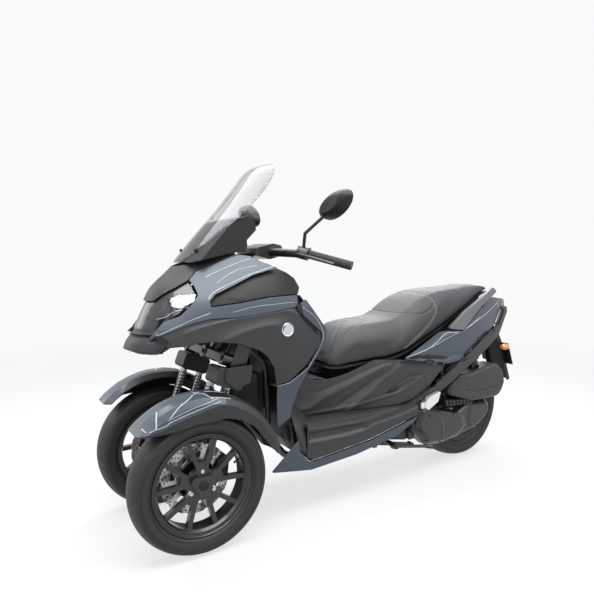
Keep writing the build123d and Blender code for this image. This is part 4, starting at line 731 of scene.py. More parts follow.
@dataclass
class Studio:
    """Pale floor and backdrop, soft lamps and the camera."""

    eye: Point = (1.5764, 2.0588, 1.0879)
    yaw: float = math.radians(-121.786)
    pitch: float = math.radians(-4.911)
    roll: float = math.radians(0.3855)
    lens: float = 32.55
    lift: float = 2.78 / 600.0
    floor_size: float = 60.0
    floor_colour: Colour = (0.80, 0.80, 0.80)
    floor_light: float = 0.72
    dimmed: float = 0.42
    near: float = 1.6
    far: float = 5.5
    pale: Colour = (0.95, 0.955, 0.96)
    soft: Colour = (0.95, 0.97, 1.0)
    soft_light: float = 0.15
    seen_by: tuple[str, ...] = ("Is Glossy Ray", "Is Transmission Ray")
    target: Point = (0.0, 0.0, 0.6)
    lamps: tuple[tuple[Point, float, float, float], ...] = (
        ((0.3, 1.3, 3.2), 4.2, 1.6, 150.0),
        ((0.0, -1.2, 3.4), 4.2, 1.6, 105.0),
        ((3.2, 2.4, 2.6), 2.4, 1.6, 42.0),
        ((-2.4, 3.2, 2.4), 2.4, 1.6, 26.0),
        ((-2.6, -2.6, 2.4), 2.4, 1.8, 45.0),
        ((3.2, -2.4, 2.2), 2.4, 1.8, 36.0),
    )

    def build(self) -> None:
        """Makes the floor, the world, the lamps and the camera."""
        self.camera()
        self.floor()
        self.world()
        for place, length, width, power in self.lamps:
            self.lamp(place, length, width, power)
        bpy.context.scene.view_settings.view_transform = "Standard"

    def camera(self) -> None:
        """Sets the camera at the photograph's angle."""
        data = bpy.data.cameras.new("camera")
        data.lens = self.lens
        data.sensor_width = 36.0
        data.shift_y = self.lift
        camera = bpy.data.objects.new("camera", data)
        bpy.context.scene.collection.objects.link(camera)
        forward = Vector((math.cos(self.yaw) * math.cos(self.pitch),
                          math.sin(self.yaw) * math.cos(self.pitch), math.sin(self.pitch)))
        right = Vector((math.sin(self.yaw), -math.cos(self.yaw), 0.0))
        up = right.cross(forward)
        turned_right = right * math.cos(self.roll) + up * math.sin(self.roll)
        turned_up = up * math.cos(self.roll) - right * math.sin(self.roll)
        turn = Matrix((turned_right, turned_up, -forward)).transposed()
        camera.matrix_world = Matrix.Translation(self.eye) @ turn.to_4x4()
        bpy.context.scene.camera = camera

    def floor(self) -> None:
        """Lays the floor, which keeps the object's shadow and is pale up to the horizon."""
        bpy.ops.mesh.primitive_plane_add(size=self.floor_size, location=(0.0, 0.0, 0.0))
        floor = bpy.context.object
        floor.name = "floor"
        graph = Graph("floor_paint")
        path = graph.node("ShaderNodeLightPath", {}, {})
        seen = Number(graph, path.outputs["Is Camera Ray"])
        for kind in self.seen_by:
            seen = seen.larger(Number(graph, path.outputs[kind]))
        mist = graph.noise(graph.place(), 3.0)
        tone = graph.blend(mist, shade(self.floor_colour, 0.985), self.floor_colour)
        graph.give("Base Color", graph.blend(seen, shade(self.floor_colour, self.dimmed), tone))
        graph.give("Roughness", 0.8)
        x, y, _ = graph.parts(graph.place())
        far = ((x * x + y * y) ** 0.5).step(self.near, self.far)
        share = (far * (1.0 - self.floor_light) + self.floor_light) * seen
        glow = graph.node("ShaderNodeEmission", {}, {"Color": self.pale, "Strength": 1.0})
        mix = graph.node("ShaderNodeMixShader", {},
                         {0: share, 1: graph.shader.outputs[0], 2: glow.outputs[0]})
        output = next(n for n in graph.nodes if n.type == "OUTPUT_MATERIAL")
        graph.feed(output.inputs["Surface"], mix.outputs[0])
        floor.data.materials.append(graph.material)

    def world(self) -> None:
        """Fills the room with a soft light and shows white behind the object."""
        world = bpy.data.worlds.new("studio")
        world.use_nodes = True
        bpy.context.scene.world = world
        nodes, links = world.node_tree.nodes, world.node_tree.links
        soft = nodes["Background"]
        white = nodes.new("ShaderNodeBackground")
        for node, colour, strength in ((soft, self.soft, self.soft_light), (white, self.pale, 1.0)):
            node.inputs[0].default_value = (*colour, 1.0)
            node.inputs[1].default_value = strength
        path = nodes.new("ShaderNodeLightPath")
        seen = path.outputs["Is Camera Ray"]
        for kind in self.seen_by:
            either = nodes.new("ShaderNodeMath")
            either.operation = "MAXIMUM"
            links.new(seen, either.inputs[0])
            links.new(path.outputs[kind], either.inputs[1])
            seen = either.outputs[0]
        mix = nodes.new("ShaderNodeMixShader")
        for socket, source in zip(mix.inputs, (seen, soft.outputs[0], white.outputs[0])):
            links.new(source, socket)
        links.new(mix.outputs[0], nodes["World Output"].inputs[0])

    def lamp(self, place: Point, length: float, width: float, power: float) -> None:
        """Hangs one soft lamp that points at the object.

        Args:
            place: Where it hangs.
            length: Its long side.
            width: Its short side.
            power: Watts.
        """
        data = bpy.data.lights.new("lamp", "AREA")
        data.shape = "RECTANGLE"
        data.size = length
        data.size_y = width
        data.energy = power
        lamp = bpy.data.objects.new("lamp", data)
        bpy.context.scene.collection.objects.link(lamp)
        lamp.location = place
        aim = Vector(self.target) - Vector(place)
        lamp.rotation_euler = aim.to_track_quat("-Z", "Y").to_euler()


def mm(points: tuple[Point, ...]) -> list[Vector]:
    """Points in millimetres as vectors in metres."""
    return [Vector(point) / 1000.0 for point in points]


def mirrored(points: list[Vector], side: int) -> list[Vector]:
    """The points, or their mirror image on the right side."""
    return [Vector((p.x, p.y * side, p.z)) for p in points]


def smooth_path(points: list[Vector], spacing: float) -> list[Vector]:
    """A smooth line through points, at an even spacing.

    Args:
        points: Points it goes through.
        spacing: Distance between the returned points in metres.

    Returns:
        The evenly spaced points, with both ends kept.
    """
    ends = [points[0] * 2.0 - points[1], *points, points[-1] * 2.0 - points[-2]]
    fine = []
    for a, b, c, d in zip(ends, ends[1:], ends[2:], ends[3:]):
        for step in range(16):
            t = step / 16.0
            fine.append(0.5 * ((2.0 * b) + (c - a) * t + (2.0 * a - 5.0 * b + 4.0 * c - d) * t * t
                               + (3.0 * b - a - 3.0 * c + d) * t * t * t))
    fine.append(points[-1].copy())
    lengths = [0.0]
    for a, b in zip(fine, fine[1:]):
        lengths.append(lengths[-1] + (b - a).length)
    count = max(2, round(lengths[-1] / spacing))
    even, at = [], 0
    for step in range(count + 1):
        wanted = lengths[-1] * step / count
        while at < len(fine) - 2 and lengths[at + 1] < wanted:
            at += 1
        span = max(lengths[at + 1] - lengths[at], 1e-9)
        even.append(fine[at].lerp(fine[at + 1], min(1.0, max(0.0, (wanted - lengths[at]) / span))))
    return even


class Skin:
    """The faces of some nodes, which detail is laid on."""

    def __init__(self, shapes: Shapes, names: tuple[str, ...]) -> None:
        """Collects the nodes' faces.

        Args:
            shapes: What stands for each node.
            names: The nodes.
        """
        points, faces = [], []
        for name in names:
            mesh = shapes[name].data
            start = len(points)
            points += [v.co.copy() for v in mesh.vertices]
            faces += [[start + i for i in p.vertices] for p in mesh.polygons]
        self.tree = BVHTree.FromPolygons(points, faces)

    def near(self, point: Vector) -> tuple[Vector, Vector]:
        """The nearest place on the faces, and its normal."""
        return self.tree.find_nearest(point)[:2]

    def from_side(self, x: float, z: float, side: int) -> tuple[Vector, Vector] | None:
        """The first face that a line across the vehicle meets.

        Args:
            x: Distance forward.
            z: Height.
            side: 1 comes from the left, -1 from the right.

        Returns:
            The place and its normal, or None where nothing is met.
        """
        place, normal, _, _ = self.tree.ray_cast(Vector((x, side * 0.9, z)), Vector((0.0, -side, 0.0)))
        return None if place is None else (place, normal)


def clear_selection() -> None:
    """Leaves nothing selected and no object in edit mode."""
    if bpy.context.object is not None and bpy.context.object.mode != "OBJECT":
        bpy.ops.object.mode_set(mode="OBJECT")
    bpy.ops.object.select_all(action="DESELECT")


def pick(piece: Piece) -> None:
    """Selects one piece alone.

    Args:
        piece: The piece.
    """
    clear_selection()
    piece.select_set(True)
    bpy.context.view_layer.objects.active = piece


@contextmanager
def editing(piece: Piece) -> Iterator[None]:
    """Opens a piece in edit mode with all of it selected, and closes it at the end.

    Args:
        piece: The piece.
    """
    pick(piece)
    bpy.ops.object.mode_set(mode="EDIT")
    bpy.ops.mesh.select_all(action="SELECT")
    yield
    bpy.ops.object.mode_set(mode="OBJECT")


def turn_outwards(piece: Piece, merge: float = 0.0) -> None:
    """Turns the faces of a closed piece outwards.

    Args:
        piece: The piece.
        merge: Points nearer than this to each other are merged first.
    """
    with editing(piece):
        if merge:
            bpy.ops.mesh.remove_doubles(threshold=merge)
        bpy.ops.mesh.normals_make_consistent(inside=False)


def modified(piece: Piece, kind: str, **settings: object) -> None:
    """Gives the active piece a modifier and applies it.

    Args:
        piece: The piece.
        kind: Type of the modifier.
        settings: Values of the modifier.
    """
    modifier = piece.modifiers.new(kind.lower(), kind)
    for name, value in settings.items():
        setattr(modifier, name, value)
    bpy.ops.object.modifier_apply(modifier=modifier.name)


def named(piece: Piece, name: str) -> Piece:
    """Gives a piece and its mesh one name."""
    piece.name = piece.data.name = name
    return piece


def encloses(corners: list[tuple[float, float]] | Corners, x: float, z: float) -> bool:
    """Whether an outline seen from the side has a place inside it.

    Args:
        corners: Corners of the outline.
        x: Distance forward.
        z: Height.

    Returns:
        True where it lies inside.
    """
    hit = False
    for (x0, z0), (x1, z1) in zip(corners, corners[1:] + corners[:1]):
        if (z0 > z) != (z1 > z) and x < (x1 - x0) * (z - z0) / (z1 - z0) + x0:
            hit = not hit
    return hit


def ring(radius: float, wire: float, steps: int, place: Point, turn: Point) -> Piece:
    """A closed ring of round wire.

    Args:
        radius: Radius of its middle line.
        wire: Radius of its section.
        steps: Corners round it.
        place: Its middle.
        turn: Its rotation.

    Returns:
        The ring.
    """
    clear_selection()
    bpy.ops.mesh.primitive_torus_add(major_radius=radius, minor_radius=wire, major_segments=steps,
                                     minor_segments=6, location=place, rotation=turn)
    bpy.ops.object.transform_apply(location=True, rotation=True, scale=True)
    return bpy.context.object


def laid_grid(name: str, columns: int, rows: int, place: Callable[[int, int], Vector],
              closed: bool = False) -> Piece:
    """A grid whose points are laid in place one by one.

    Args:
        name: Name of the piece.
        columns: Points in the first direction.
        rows: Points in the second.
        place: Gives the place of a point from its column and row.
        closed: Merges points that meet and turns the faces outwards.

    Returns:
        The piece.
    """
    clear_selection()
    bpy.ops.mesh.primitive_grid_add(x_subdivisions=columns - 1, y_subdivisions=rows - 1, size=1.0)
    piece = named(bpy.context.object, name)
    for number, vertex in enumerate(piece.data.vertices):
        vertex.co = place(number % columns, number // columns)
    if closed:
        turn_outwards(piece, 0.00002)
    return piece


def lathe(name: str, centre: Vector, axis: Vector, profile: Corners, steps: int = 32) -> Piece:
    """A closed turned piece.

    Args:
        name: Name of the piece.
        centre: Where its axis starts.
        axis: Direction of its axis.
        profile: Radius and distance along the axis of each corner, from one pole to the other.
        steps: Corners round the axis.

    Returns:
        The piece.
    """
    axis = axis.normalized()
    first = axis.orthogonal().normalized()
    second = axis.cross(first)

    def place(column: int, row: int) -> Vector:
        """Point of one corner at one step."""
        turn = math.tau * column / steps
        radius, along = profile[row]
        return centre + axis * along + (first * math.cos(turn) + second * math.sin(turn)) * radius

    return laid_grid(name, steps + 1, len(profile), place, closed=True)


def joined(pieces: list[Piece], name: str) -> Piece:
    """Several pieces as one.

    Args:
        pieces: The pieces.
        name: Name of the one.

    Returns:
        The joined piece.
    """
    pick(pieces[0])
    for piece in pieces:
        piece.select_set(True)
    bpy.ops.object.join()
    return named(pieces[0], name)


def bolt(name: str, centre: Vector, axis: Vector, radius: float, height: float) -> Piece:
    """A flanged hexagon bolt head with a dished top.

    Args:
        name: Name of the piece.
        centre: Middle of its foot.
        axis: Direction that it points in.
        radius: Half its width over the corners.
        height: Height of the head.

    Returns:
        The bolt.
    """
    wide, low = radius * 1.25, height * 0.7
    flange = lathe(name + "_flange", centre, axis, ((0.0, -0.001), (wide, -0.001), (wide, 0.0008),
                                                    (radius * 1.1, 0.0016), (0.0, 0.0016)), 24)
    head = lathe(name, centre, axis,
                 ((0.0, 0.0), (radius, 0.0), (radius, height * 0.85), (radius * 0.88, height),
                  (radius * 0.45, height), (radius * 0.35, low), (0.0, low)), 6)
    return joined([head, flange], name)


def strip(name: str, skin: Skin, points: list[Vector], width: float, height: float,
          taper: bool = False) -> Piece:
    """A thin raised strip that follows a surface.

    Args:
        name: Name of the piece.
        skin: Surface it lies on.
        points: Points on or near that surface.
        width: Its width in metres.
        height: How far it stands out, less than 0 for one behind the surface.
        taper: Narrows it towards both ends.

    Returns:
        The piece.
    """
    path = smooth_path(points, STRIP_STEP)
    places, normals = zip(*(skin.near(point) for point in path))
    even = [sum(normals[max(0, number - 2):number + 3], Vector()).normalized() for number in range(len(path))]
    foot = -0.0004 if height > 0 else height - THIN
    rows = max(2, int(width / STRIP_STEP))
    shape = [(-0.5, foot), *((-0.42 + 0.84 * row / (rows - 1), height) for row in range(rows)), (0.5, foot)]

    def place_at(column: int, row: int) -> Vector:
        """Point of the strip's section at one place along it."""
        before, after = path[max(0, column - 1)], path[min(len(path) - 1, column + 1)]
        out = even[column].cross((after - before).normalized()).normalized()
        aside, lift = shape[row]
        share = column / (len(path) - 1)
        scale = min(1.0, 0.25 + 6.0 * min(share, 1.0 - share)) if taper else 1.0
        spot = places[column] + out * (aside * width * scale)
        if height > 0:
            spot = skin.near(spot)[0]
        return spot + even[column] * lift

    piece = laid_grid(name, len(path), len(shape), place_at)
    middle = piece.data.polygons[len(piece.data.polygons) // 2]
    if middle.normal.dot(even[len(path) // 2]) < 0:
        with editing(piece):
            bpy.ops.mesh.flip_normals()
    return piece


@dataclass
class Fitter:
    """Finishes pieces: smooths, dresses and hangs each on its body."""

    shop: Shop
    count: int = 0

    def fit(self, piece: Piece, body: str, finish: Finish | Glass, angle: float = 35.0) -> Piece:
        """Finishes one piece.

        Args:
            piece: The piece.
            body: Body that it moves with.
            finish: Its finish.
            angle: Edges sharper than this in degrees stay crisp.

        Returns:
            The same piece.
        """
        pick(piece)
        bpy.ops.object.shade_smooth_by_angle(angle=math.radians(angle))
        self.shop.dress(piece, finish)
        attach(piece, body)
        self.count += 1
        LOG.info("%s: %d faces on %s", piece.name, len(piece.data.polygons), body)
        return piece


def solid_copy(node: Piece, name: str, merge: float = 0.00005) -> Piece:
    """A closed copy of a CAD node that may be reshaped.

    Args:
        node: The CAD node.
        name: Name of the copy.
        merge: Points nearer than this to each other are merged.

    Returns:
        The copy, with its doubled points merged.
    """
    clear_selection()
    piece = node.copy()
    piece.data = node.data.copy()
    named(piece, name)
    bpy.context.scene.collection.objects.link(piece)
    piece.hide_render = False
    piece.hide_viewport = False
    turn_outwards(piece, merge)
    return piece


def sliced(piece: Piece, step: float, axes: tuple[int, ...] = (0, 2)) -> None:
    """Cuts a piece's faces by evenly spaced planes, so that they can be pressed into shape.

    Args:
        piece: The piece.
        step: Distance between the planes.
        axes: Directions across the planes.
    """
    with editing(piece):
        for axis in axes:
            reach = [v.co[axis] for v in piece.data.vertices]
            way = Vector.Fill(3, 0.0)
            way[axis] = 1.0
            for number in range(1, int((max(reach) - min(reach)) / step) + 1):
                spot = way * (min(reach) + (number - 0.37) * step)
                bpy.ops.mesh.select_all(action="SELECT")
                bpy.ops.mesh.bisect(plane_co=spot, plane_no=way, use_fill=False, clear_inner=False,
                                    clear_outer=False)


def remeshed(piece: Piece, voxel: float, rounds: int, factor: float = 0.5) -> None:
    """Gives a solid piece one even skin and softens its edges.

    Args:
        piece: The piece.
        voxel: Size of the new mesh.
        rounds: Rounds of softening.
        factor: Share that each round takes off.
    """
    pick(piece)
    modified(piece, "REMESH", mode="VOXEL", voxel_size=voxel)
    modified(piece, "SMOOTH", factor=factor, iterations=rounds)


def finder(spots: list[Vector]) -> KDTree:
    """A tree that finds the nearest of some points.

    Args:
        spots: The points.

    Returns:
        The tree.
    """
    tree = KDTree(len(spots))
    for number, spot in enumerate(spots):
        tree.insert(spot, number)
    tree.balance()
    return tree


@dataclass
class Fold:
    """A pressed crease, ridge or valley along a line seen from the side, in millimetres."""

    points: Corners
    above: float
    below: float
    height: float
    fade: float = 0.15

    def __post_init__(self) -> None:
        """Prepares the line for lookups."""
        self.path = smooth_path([Vector((x / 1000.0, 0.0, z / 1000.0)) for x, z in self.points], 0.004)
        self.tree = finder(self.path)

    def lift(self, x: float, z: float) -> float:
        """How far the fold moves the surface outwards at one place.

        Args:
            x: Distance forward.
            z: Height.

        Returns:
            The distance in metres.
        """
        _, number, distance = self.tree.find(Vector((x, 0.0, z)))
        if distance > max(self.above, self.below) / 1000.0:
            return 0.0
        before = self.path[max(0, number - 1)]
        after = self.path[min(len(self.path) - 1, number + 1)]
        way = (after - before).normalized()
        gap = Vector((x, 0.0, z)) - self.path[number]
        aside = way.x * gap.z - way.z * gap.x
        reach = (self.above if (aside > 0.0) == (way.x > 0.0) else self.below) / 1000.0
        near = max(0.0, 1.0 - abs(aside) / reach)
        share = number / (len(self.path) - 1)
        end = min(1.0, min(share, 1.0 - share) / self.fade) if self.fade else 1.0
        return self.height / 1000.0 * near * near * end * (2.0 - end)


@dataclass
class Field:
    """An area that stands out or lies back, seen from the side, in millimetres."""

    outline: Corners
    bevel: float
    height: float

    def __post_init__(self) -> None:
        """Prepares the outline for lookups."""
        self.corners = [(x / 1000.0, z / 1000.0) for x, z in self.outline]
        spots = []
        for (x0, z0), (x1, z1) in zip(self.corners, self.corners[1:] + self.corners[:1]):
            count = max(1, int(math.hypot(x1 - x0, z1 - z0) / 0.002))
            spots += [Vector((x0 + (x1 - x0) * i / count, 0.0,
                              z0 + (z1 - z0) * i / count)) for i in range(count)]
        self.tree = finder(spots)

    def lift(self, x: float, z: float) -> float:
        """How far the area moves the surface outwards at one place.

        Args:
            x: Distance forward.
            z: Height.

        Returns:
            The distance in metres.
        """
        _, _, distance = self.tree.find(Vector((x, 0.0, z)))
        depth = distance if encloses(self.corners, x, z) else -distance
        share = min(1.0, max(0.0, depth / (self.bevel / 1000.0) + 0.5))
        return self.height / 1000.0 * share * share * (3.0 - 2.0 * share)


@dataclass
class Panel:
    """A panel of the body that is pressed into folds and fields, on both sides."""

    node: str
    body: str
    finish: Finish
    forms: tuple[Fold | Field, ...]
    step: float = 0.006
    voxel: float = 0.0
    rounds: int = 6
    facing: float = -2.0
    angle: float = 30.0

    def build(self, shapes: Shapes, fitter: Fitter) -> Piece:
        """Makes the panel and lets it stand for the CAD node.

        Args:
            shapes: What stands for each node.
            fitter: Finishes the piece.

        Returns:
            The panel.
        """
        piece = solid_copy(shapes[self.node], f"{self.node}_panel")
        if self.voxel:
            remeshed(piece, self.voxel, self.rounds)
        else:
            sliced(piece, self.step * (1.0))
        normals = [v.normal.copy() for v in piece.data.vertices]
        for vertex, normal in zip(piece.data.vertices, normals):
            side = 1.0 if vertex.co.y > 0.0 else -1.0
            if normal.y * side < self.facing:
                continue
            vertex.co.y += side * sum(form.lift(vertex.co.x, vertex.co.z) for form in self.forms)
        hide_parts(self.node)
        fitter.fit(piece, self.body, self.finish, self.angle)
        modified(piece, "WEIGHTED_NORMAL", keep_sharp=True)
        return piece


def plate(name: str, outline: Corners, low: float, high: float) -> Piece:
    """A flat plate that stands along the vehicle.

    Args:
        name: Name of the piece.
        outline: Its corners seen from the side in millimetres.
        low: Nearest distance from the middle plane in millimetres, with its sign.
        high: Other distance.

    Returns:
        The plate.
    """
    clear_selection()
    bpy.ops.mesh.primitive_circle_add(vertices=len(outline), fill_type="NGON")
    piece = named(bpy.context.object, name)
    for vertex, (x, z) in zip(piece.data.vertices, outline):
        vertex.co = Vector((x, low, z)) / 1000.0
    with editing(piece):
        bpy.ops.mesh.extrude_region_move(TRANSFORM_OT_translate={"value": (0.0, (high - low) / 1000.0, 0.0)})
    turn_outwards(piece)
    return piece


@dataclass
class Line:
    """One line of detail: its name, points in millimetres, width and height in metres and finish."""

    name: str
    points: tuple[Point, ...]
    width: float
    finish: Finish
    height: float = 0.0010
    taper: bool = False


@dataclass
class LineWork:
    """Lines and trims that lie on the panels of one body, on both sides."""

    nodes: tuple[str, ...]
    body: str
    lines: tuple[Line, ...]
    both_sides: bool = True
    outward: Point = (2.0, 6.0, 4.0)

    def build(self, shapes: Shapes, fitter: Fitter) -> None:
        """Lays each line on each side.

        Args:
            shapes: What stands for each node.
            fitter: Finishes the pieces.
        """
        skin = Skin(shapes, self.nodes)
        dx, dy, dz = self.outward
        for line in self.lines:
            for side in SIDES if self.both_sides else (0,):
                out = 1.0 if side or line.points[0][1] > 0.0 else -1.0
                lifted = tuple((x + dx, y + dy * out, z + dz) for x, y, z in line.points)
                points = mirrored(mm(lifted), side or 1)
                name = f"{line.name}_{SIDES[side]}" if side else line.name
                piece = strip(name, skin, points, line.width, line.height, line.taper)
                fitter.fit(piece, self.body, line.finish)


BODY_SIDE_PANEL = Panel(
    "body_sides", "chassis", DARK_PLASTIC, (
        Fold(((392, 440), (350, 430), (310, 436), (249, 471), (180, 497), (102, 527), (21, 560), (-46, 584),
              (-120, 598)), 46, 60, 11.0, 0.16),
        Fold(((340, 500), (300, 497), (247, 503), (179, 526), (69, 564), (-30, 594), (-120, 604)), 14, 20,
             -3.0, 0.12),
        Fold(((150, 398), (121, 412), (73, 447), (7, 484), (-44, 524), (-88, 549), (-133, 578), (-170, 594)),
             26, 60, 8.0, 0.12),
        Fold(((190, 420), (130, 452), (60, 492), (0, 528), (-50, 558)), 26, 26, -6.0, 0.2),
        Fold(((392, 404), (200, 414), (40, 432), (-128, 460), (-222, 492), (-300, 540)), 10, 14, 4.0, 0.08),
    ), step=0.005)
LOWER_COVER_PANEL = Panel(
    "lower_covers", "chassis", DARK_PLASTIC, (
        Fold(((790, 764), (725, 790), (665, 810), (602, 822), (545, 824), (505, 812)), 44, 90, 9.0, 0.25),
        Fold(((906, 800), (853, 822), (785, 839), (721, 852), (628, 862), (500, 876), (440, 850)), 9, 30, 3.5,
             0.08),
        Fold(((954, 760), (951, 778), (927, 820)), 2.5, 2.5, -2.0, 0.0),
    ))
FOOT_BOARD_PANEL = Panel(
    "foot_boards", "chassis", DARK_PLASTIC, (
        Fold(((400, 374), (243, 371), (87, 371), (-79, 394), (-209, 416), (-300, 462)), 16, 18, 6.0, 0.05),
        Field(((384, 360), (317, 360), (168, 360), (96, 356), (96, 336), (168, 329), (317, 329), (384, 332)),
              8, -5.0),
        Fold(((400, 320), (242, 319), (86, 328), (41, 342), (-99, 359), (-228, 387), (-320, 440)), 14, 34,
             8.0, 0.04),
    ), step=0.0045)
TAIL_PANEL_PRESSED = Panel(
    "tail_panels", "chassis", SLATE_PAINT, (
        Fold(((-176, 614), (-304, 640), (-374, 668), (-449, 700), (-573, 722), (-730, 766), (-838, 800),
              (-950, 838)), 36, 44, 6.0, 0.08),
        Field(((-215, 610), (-300, 622), (-420, 622), (-545, 606), (-536, 586), (-505, 594), (-440, 582),
               (-300, 598)), 12, -3.5),
    ), step=0.004)
AIR_BOX_PANEL = Panel(
    "air_box", "chassis", BOX_PLASTIC, (
        Fold(((-560, 470), (-700, 452), (-860, 470), (-920, 460)), 5, 5, -3.5, 0.02),
        Fold(((-600, 410), (-700, 392), (-860, 400), (-915, 420)), 5, 34, -6.0, 0.04),
        Fold(((-560, 478), (-700, 461), (-860, 478)), 20, 4, 2.0, 0.04),
    ), voxel=0.0042, rounds=10, facing=0.2)
BELT_CASE_PANEL = Panel(
    "belt_case", "chassis", CASE_GREY, (
        Field(((-330, 340), (-560, 300), (-620, 262), (-640, 214), (-600, 176), (-500, 152), (-390, 158),
               (-310, 250)), 26, 7.0),
        Fold(((-452, 282), (-468, 240), (-476, 190), (-470, 160)), 10, 10, 4.0, 0.1),
        Field(((-690, 322), (-830, 306), (-832, 252), (-752, 200), (-690, 190), (-666, 240)), 16, 5.0),
        Fold(((-600, 165), (-700, 182), (-790, 232), (-836, 290)), 6, 6, -3.0, 0.1),
    ), voxel=0.0042, rounds=10, facing=0.2)


PANELS = (BODY_SIDE_PANEL, LOWER_COVER_PANEL, FOOT_BOARD_PANEL, TAIL_PANEL_PRESSED, AIR_BOX_PANEL,
          BELT_CASE_PANEL)


@dataclass
class Nose:
    """The nose under the lamps and the lamps' own housing, drawn back to their slope."""

    voxel: float = 0.0034
    start: float = 0.905
    full: float = 1.010
    slope: Corners = ((0.690, 0.050), (0.715, 0.046), (0.736, 0.024), (0.765, 0.036),
                      (0.7875, 0.052), (0.7895, 0.041), (0.800, 0.046),
                      (0.841, 0.046), (0.880, 0.040), (0.915, 0.030), (0.960, 0.012), (1.0, 0.0))
    lip_z: float = 0.735
    lip_rise: float = 0.018
    lip_half: float = 0.12
    seam_z: float = 0.785
    overlap: float = 0.004
    stay_trim: float = 0.030
    stay_reach: float = 0.05
    core_half: float = 112.0
    core: Corners = ((900, 760), (960, 748), (978, 790), (966, 850), (900, 880))

    def pushed(self, point: Vector) -> Vector:
        """Where a point of the nose goes.

        Args:
            point: The point.

        Returns:
            Its new place.
        """
        share = min(1.0, max(0.0, (point.x - self.start) / (self.full - self.start)))
        back = self.slope[0][1] if point.z < self.slope[0][0] else 0.0
        for (z0, b0), (z1, b1) in zip(self.slope, self.slope[1:]):
            if z0 <= point.z <= z1:
                back = b0 + (b1 - b0) * (point.z - z0) / (z1 - z0)
        rise = self.lip_rise * share * max(0.0, min(1.0, (self.lip_z - point.z) / 0.03))
        rise *= max(0.0, 1.0 - abs(point.y) / self.lip_half)
        return Vector((point.x - back * share * share * (3.0 - 2.0 * share), point.y, point.z + rise))

    def build(self, shapes: Shapes, fitter: Fitter) -> Shapes:
        """Makes the nose and its lenses.

        Args:
            shapes: What stands for each node.
            fitter: Finishes the pieces.

        Returns:
            The new pieces by the node that each stands for.
        """
        parts = [solid_copy(shapes[name], name + "_copy") for name in ("lamp_housing", "nose_cover")]
        for vertex in parts[1].data.vertices:
            if vertex.co.z > self.seam_z:
                vertex.co.z += self.overlap
        nose = joined(parts, "nose")
        remeshed(nose, self.voxel, 5)
        for vertex in nose.data.vertices:
            vertex.co = self.pushed(vertex.co)
        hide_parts("lamp_housing", "nose_cover")
        fitter.fit(nose, "chassis", NOSE_PLASTIC, 45.0)
        lens = solid_copy(shapes["headlight_lenses"], "headlight_lens_pair")
        sliced(lens, 0.008)
        for vertex in lens.data.vertices:
            vertex.co = self.pushed(vertex.co)
        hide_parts("headlight_lenses")
        fitter.fit(lens, "chassis", LENS, 35.0)
        made = {"lamp_housing": nose, "nose_cover": nose, "headlight_lenses": lens}
        for name, finish in (("top_cowl", DARK_PLASTIC), ("frame", BLACK_PAINT)):
            piece = solid_copy(shapes[name], name + "_drawn_back")
            if name == "top_cowl":
                sliced(piece, 0.012)
            for vertex in piece.data.vertices:
                trim = self.stay_trim if name == "frame" and vertex.co.x > self.start else 0.0
                vertex.co = self.pushed(vertex.co)
                vertex.co.x -= trim * min(1.0, max(0.0, (vertex.co.x - self.start) / self.stay_reach))
            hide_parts(name)
            fitter.fit(piece, "chassis", finish)
            made[name] = piece
        fitter.fit(plate("nose_core", self.core, -self.core_half, self.core_half), "chassis", BLACK_PLASTIC)
        return made


@dataclass
class ShadePlates:
    """Dark plates and strips behind the seams: painted shade that stands for the shaded inside of the
    bodywork and keeps daylight out of it.
    """

    plates: tuple[tuple[str, Corners, float, float], ...] = (
        ("board_shade_plate", ((440, 352), (426, 282), (367, 224), (54, 262), (-246, 335), (-262, 372), (54, 312),
                         (340, 275), (380, 290), (398, 352)), 222, 228),
        ("board_front_shade", ((378, 392), (386, 392), (386, 264), (378, 264)), 132, 234),
        ("floor_shade_plate", ((402, 378), (402, 399), (205, 409), (205, 384)), 98, 134),
    )
    seams: tuple[tuple[tuple[str, ...], tuple[Point, ...], float], ...] = (
        (("body_sides", "tail_panels"), ((-150, 190, 611), (-300, 201, 587), (-437, 203, 564)), 0.024),
        (("tail_panels", "tail_spars"),
         ((-548, 200, 569), (-625, 186, 610), (-710, 170, 652), (-747, 163, 668),
          (-890, 130, 722), (-975, 100, 800), (-1000, 90, 840)), 0.026),
        (("tail_spars", "body_sides"), ((-437, 206, 560), (-392, 208, 494), (-306, 212, 455)), 0.024),
        (("side_fairings", "nose_cover", "lower_covers"), ((1000, 120, 787), (975, 150, 780), (952, 165, 752),
                                                           (991, 140, 726)), 0.030),
        (("side_fairings", "leg_trims", "lower_covers"), ((449, 246, 900), (440, 250, 870), (428, 252, 853),
                                                          (349, 260, 781)), 0.020),
    )
    depth: float = 0.006

    def build(self, shapes: Shapes, fitter: Fitter) -> None:
        """Makes the plates and strips on both sides.

        Args:
            shapes: What stands for each node.
            fitter: Finishes the pieces.
        """
        for side, name in SIDES.items():
            for label, outline, low, high in self.plates:
                fitter.fit(plate(f"{label}_{name}", outline, side * low, side * high), "chassis",
                           BLACK_PLASTIC)
            for number, (nodes, points, width) in enumerate(self.seams):
                skin = Skin(shapes, nodes)
                piece = strip(f"seam_liner_{number}_{name}", skin, mirrored(mm(points), side), width,
                              -self.depth)
                fitter.fit(piece, "chassis", BLACK_PLASTIC)


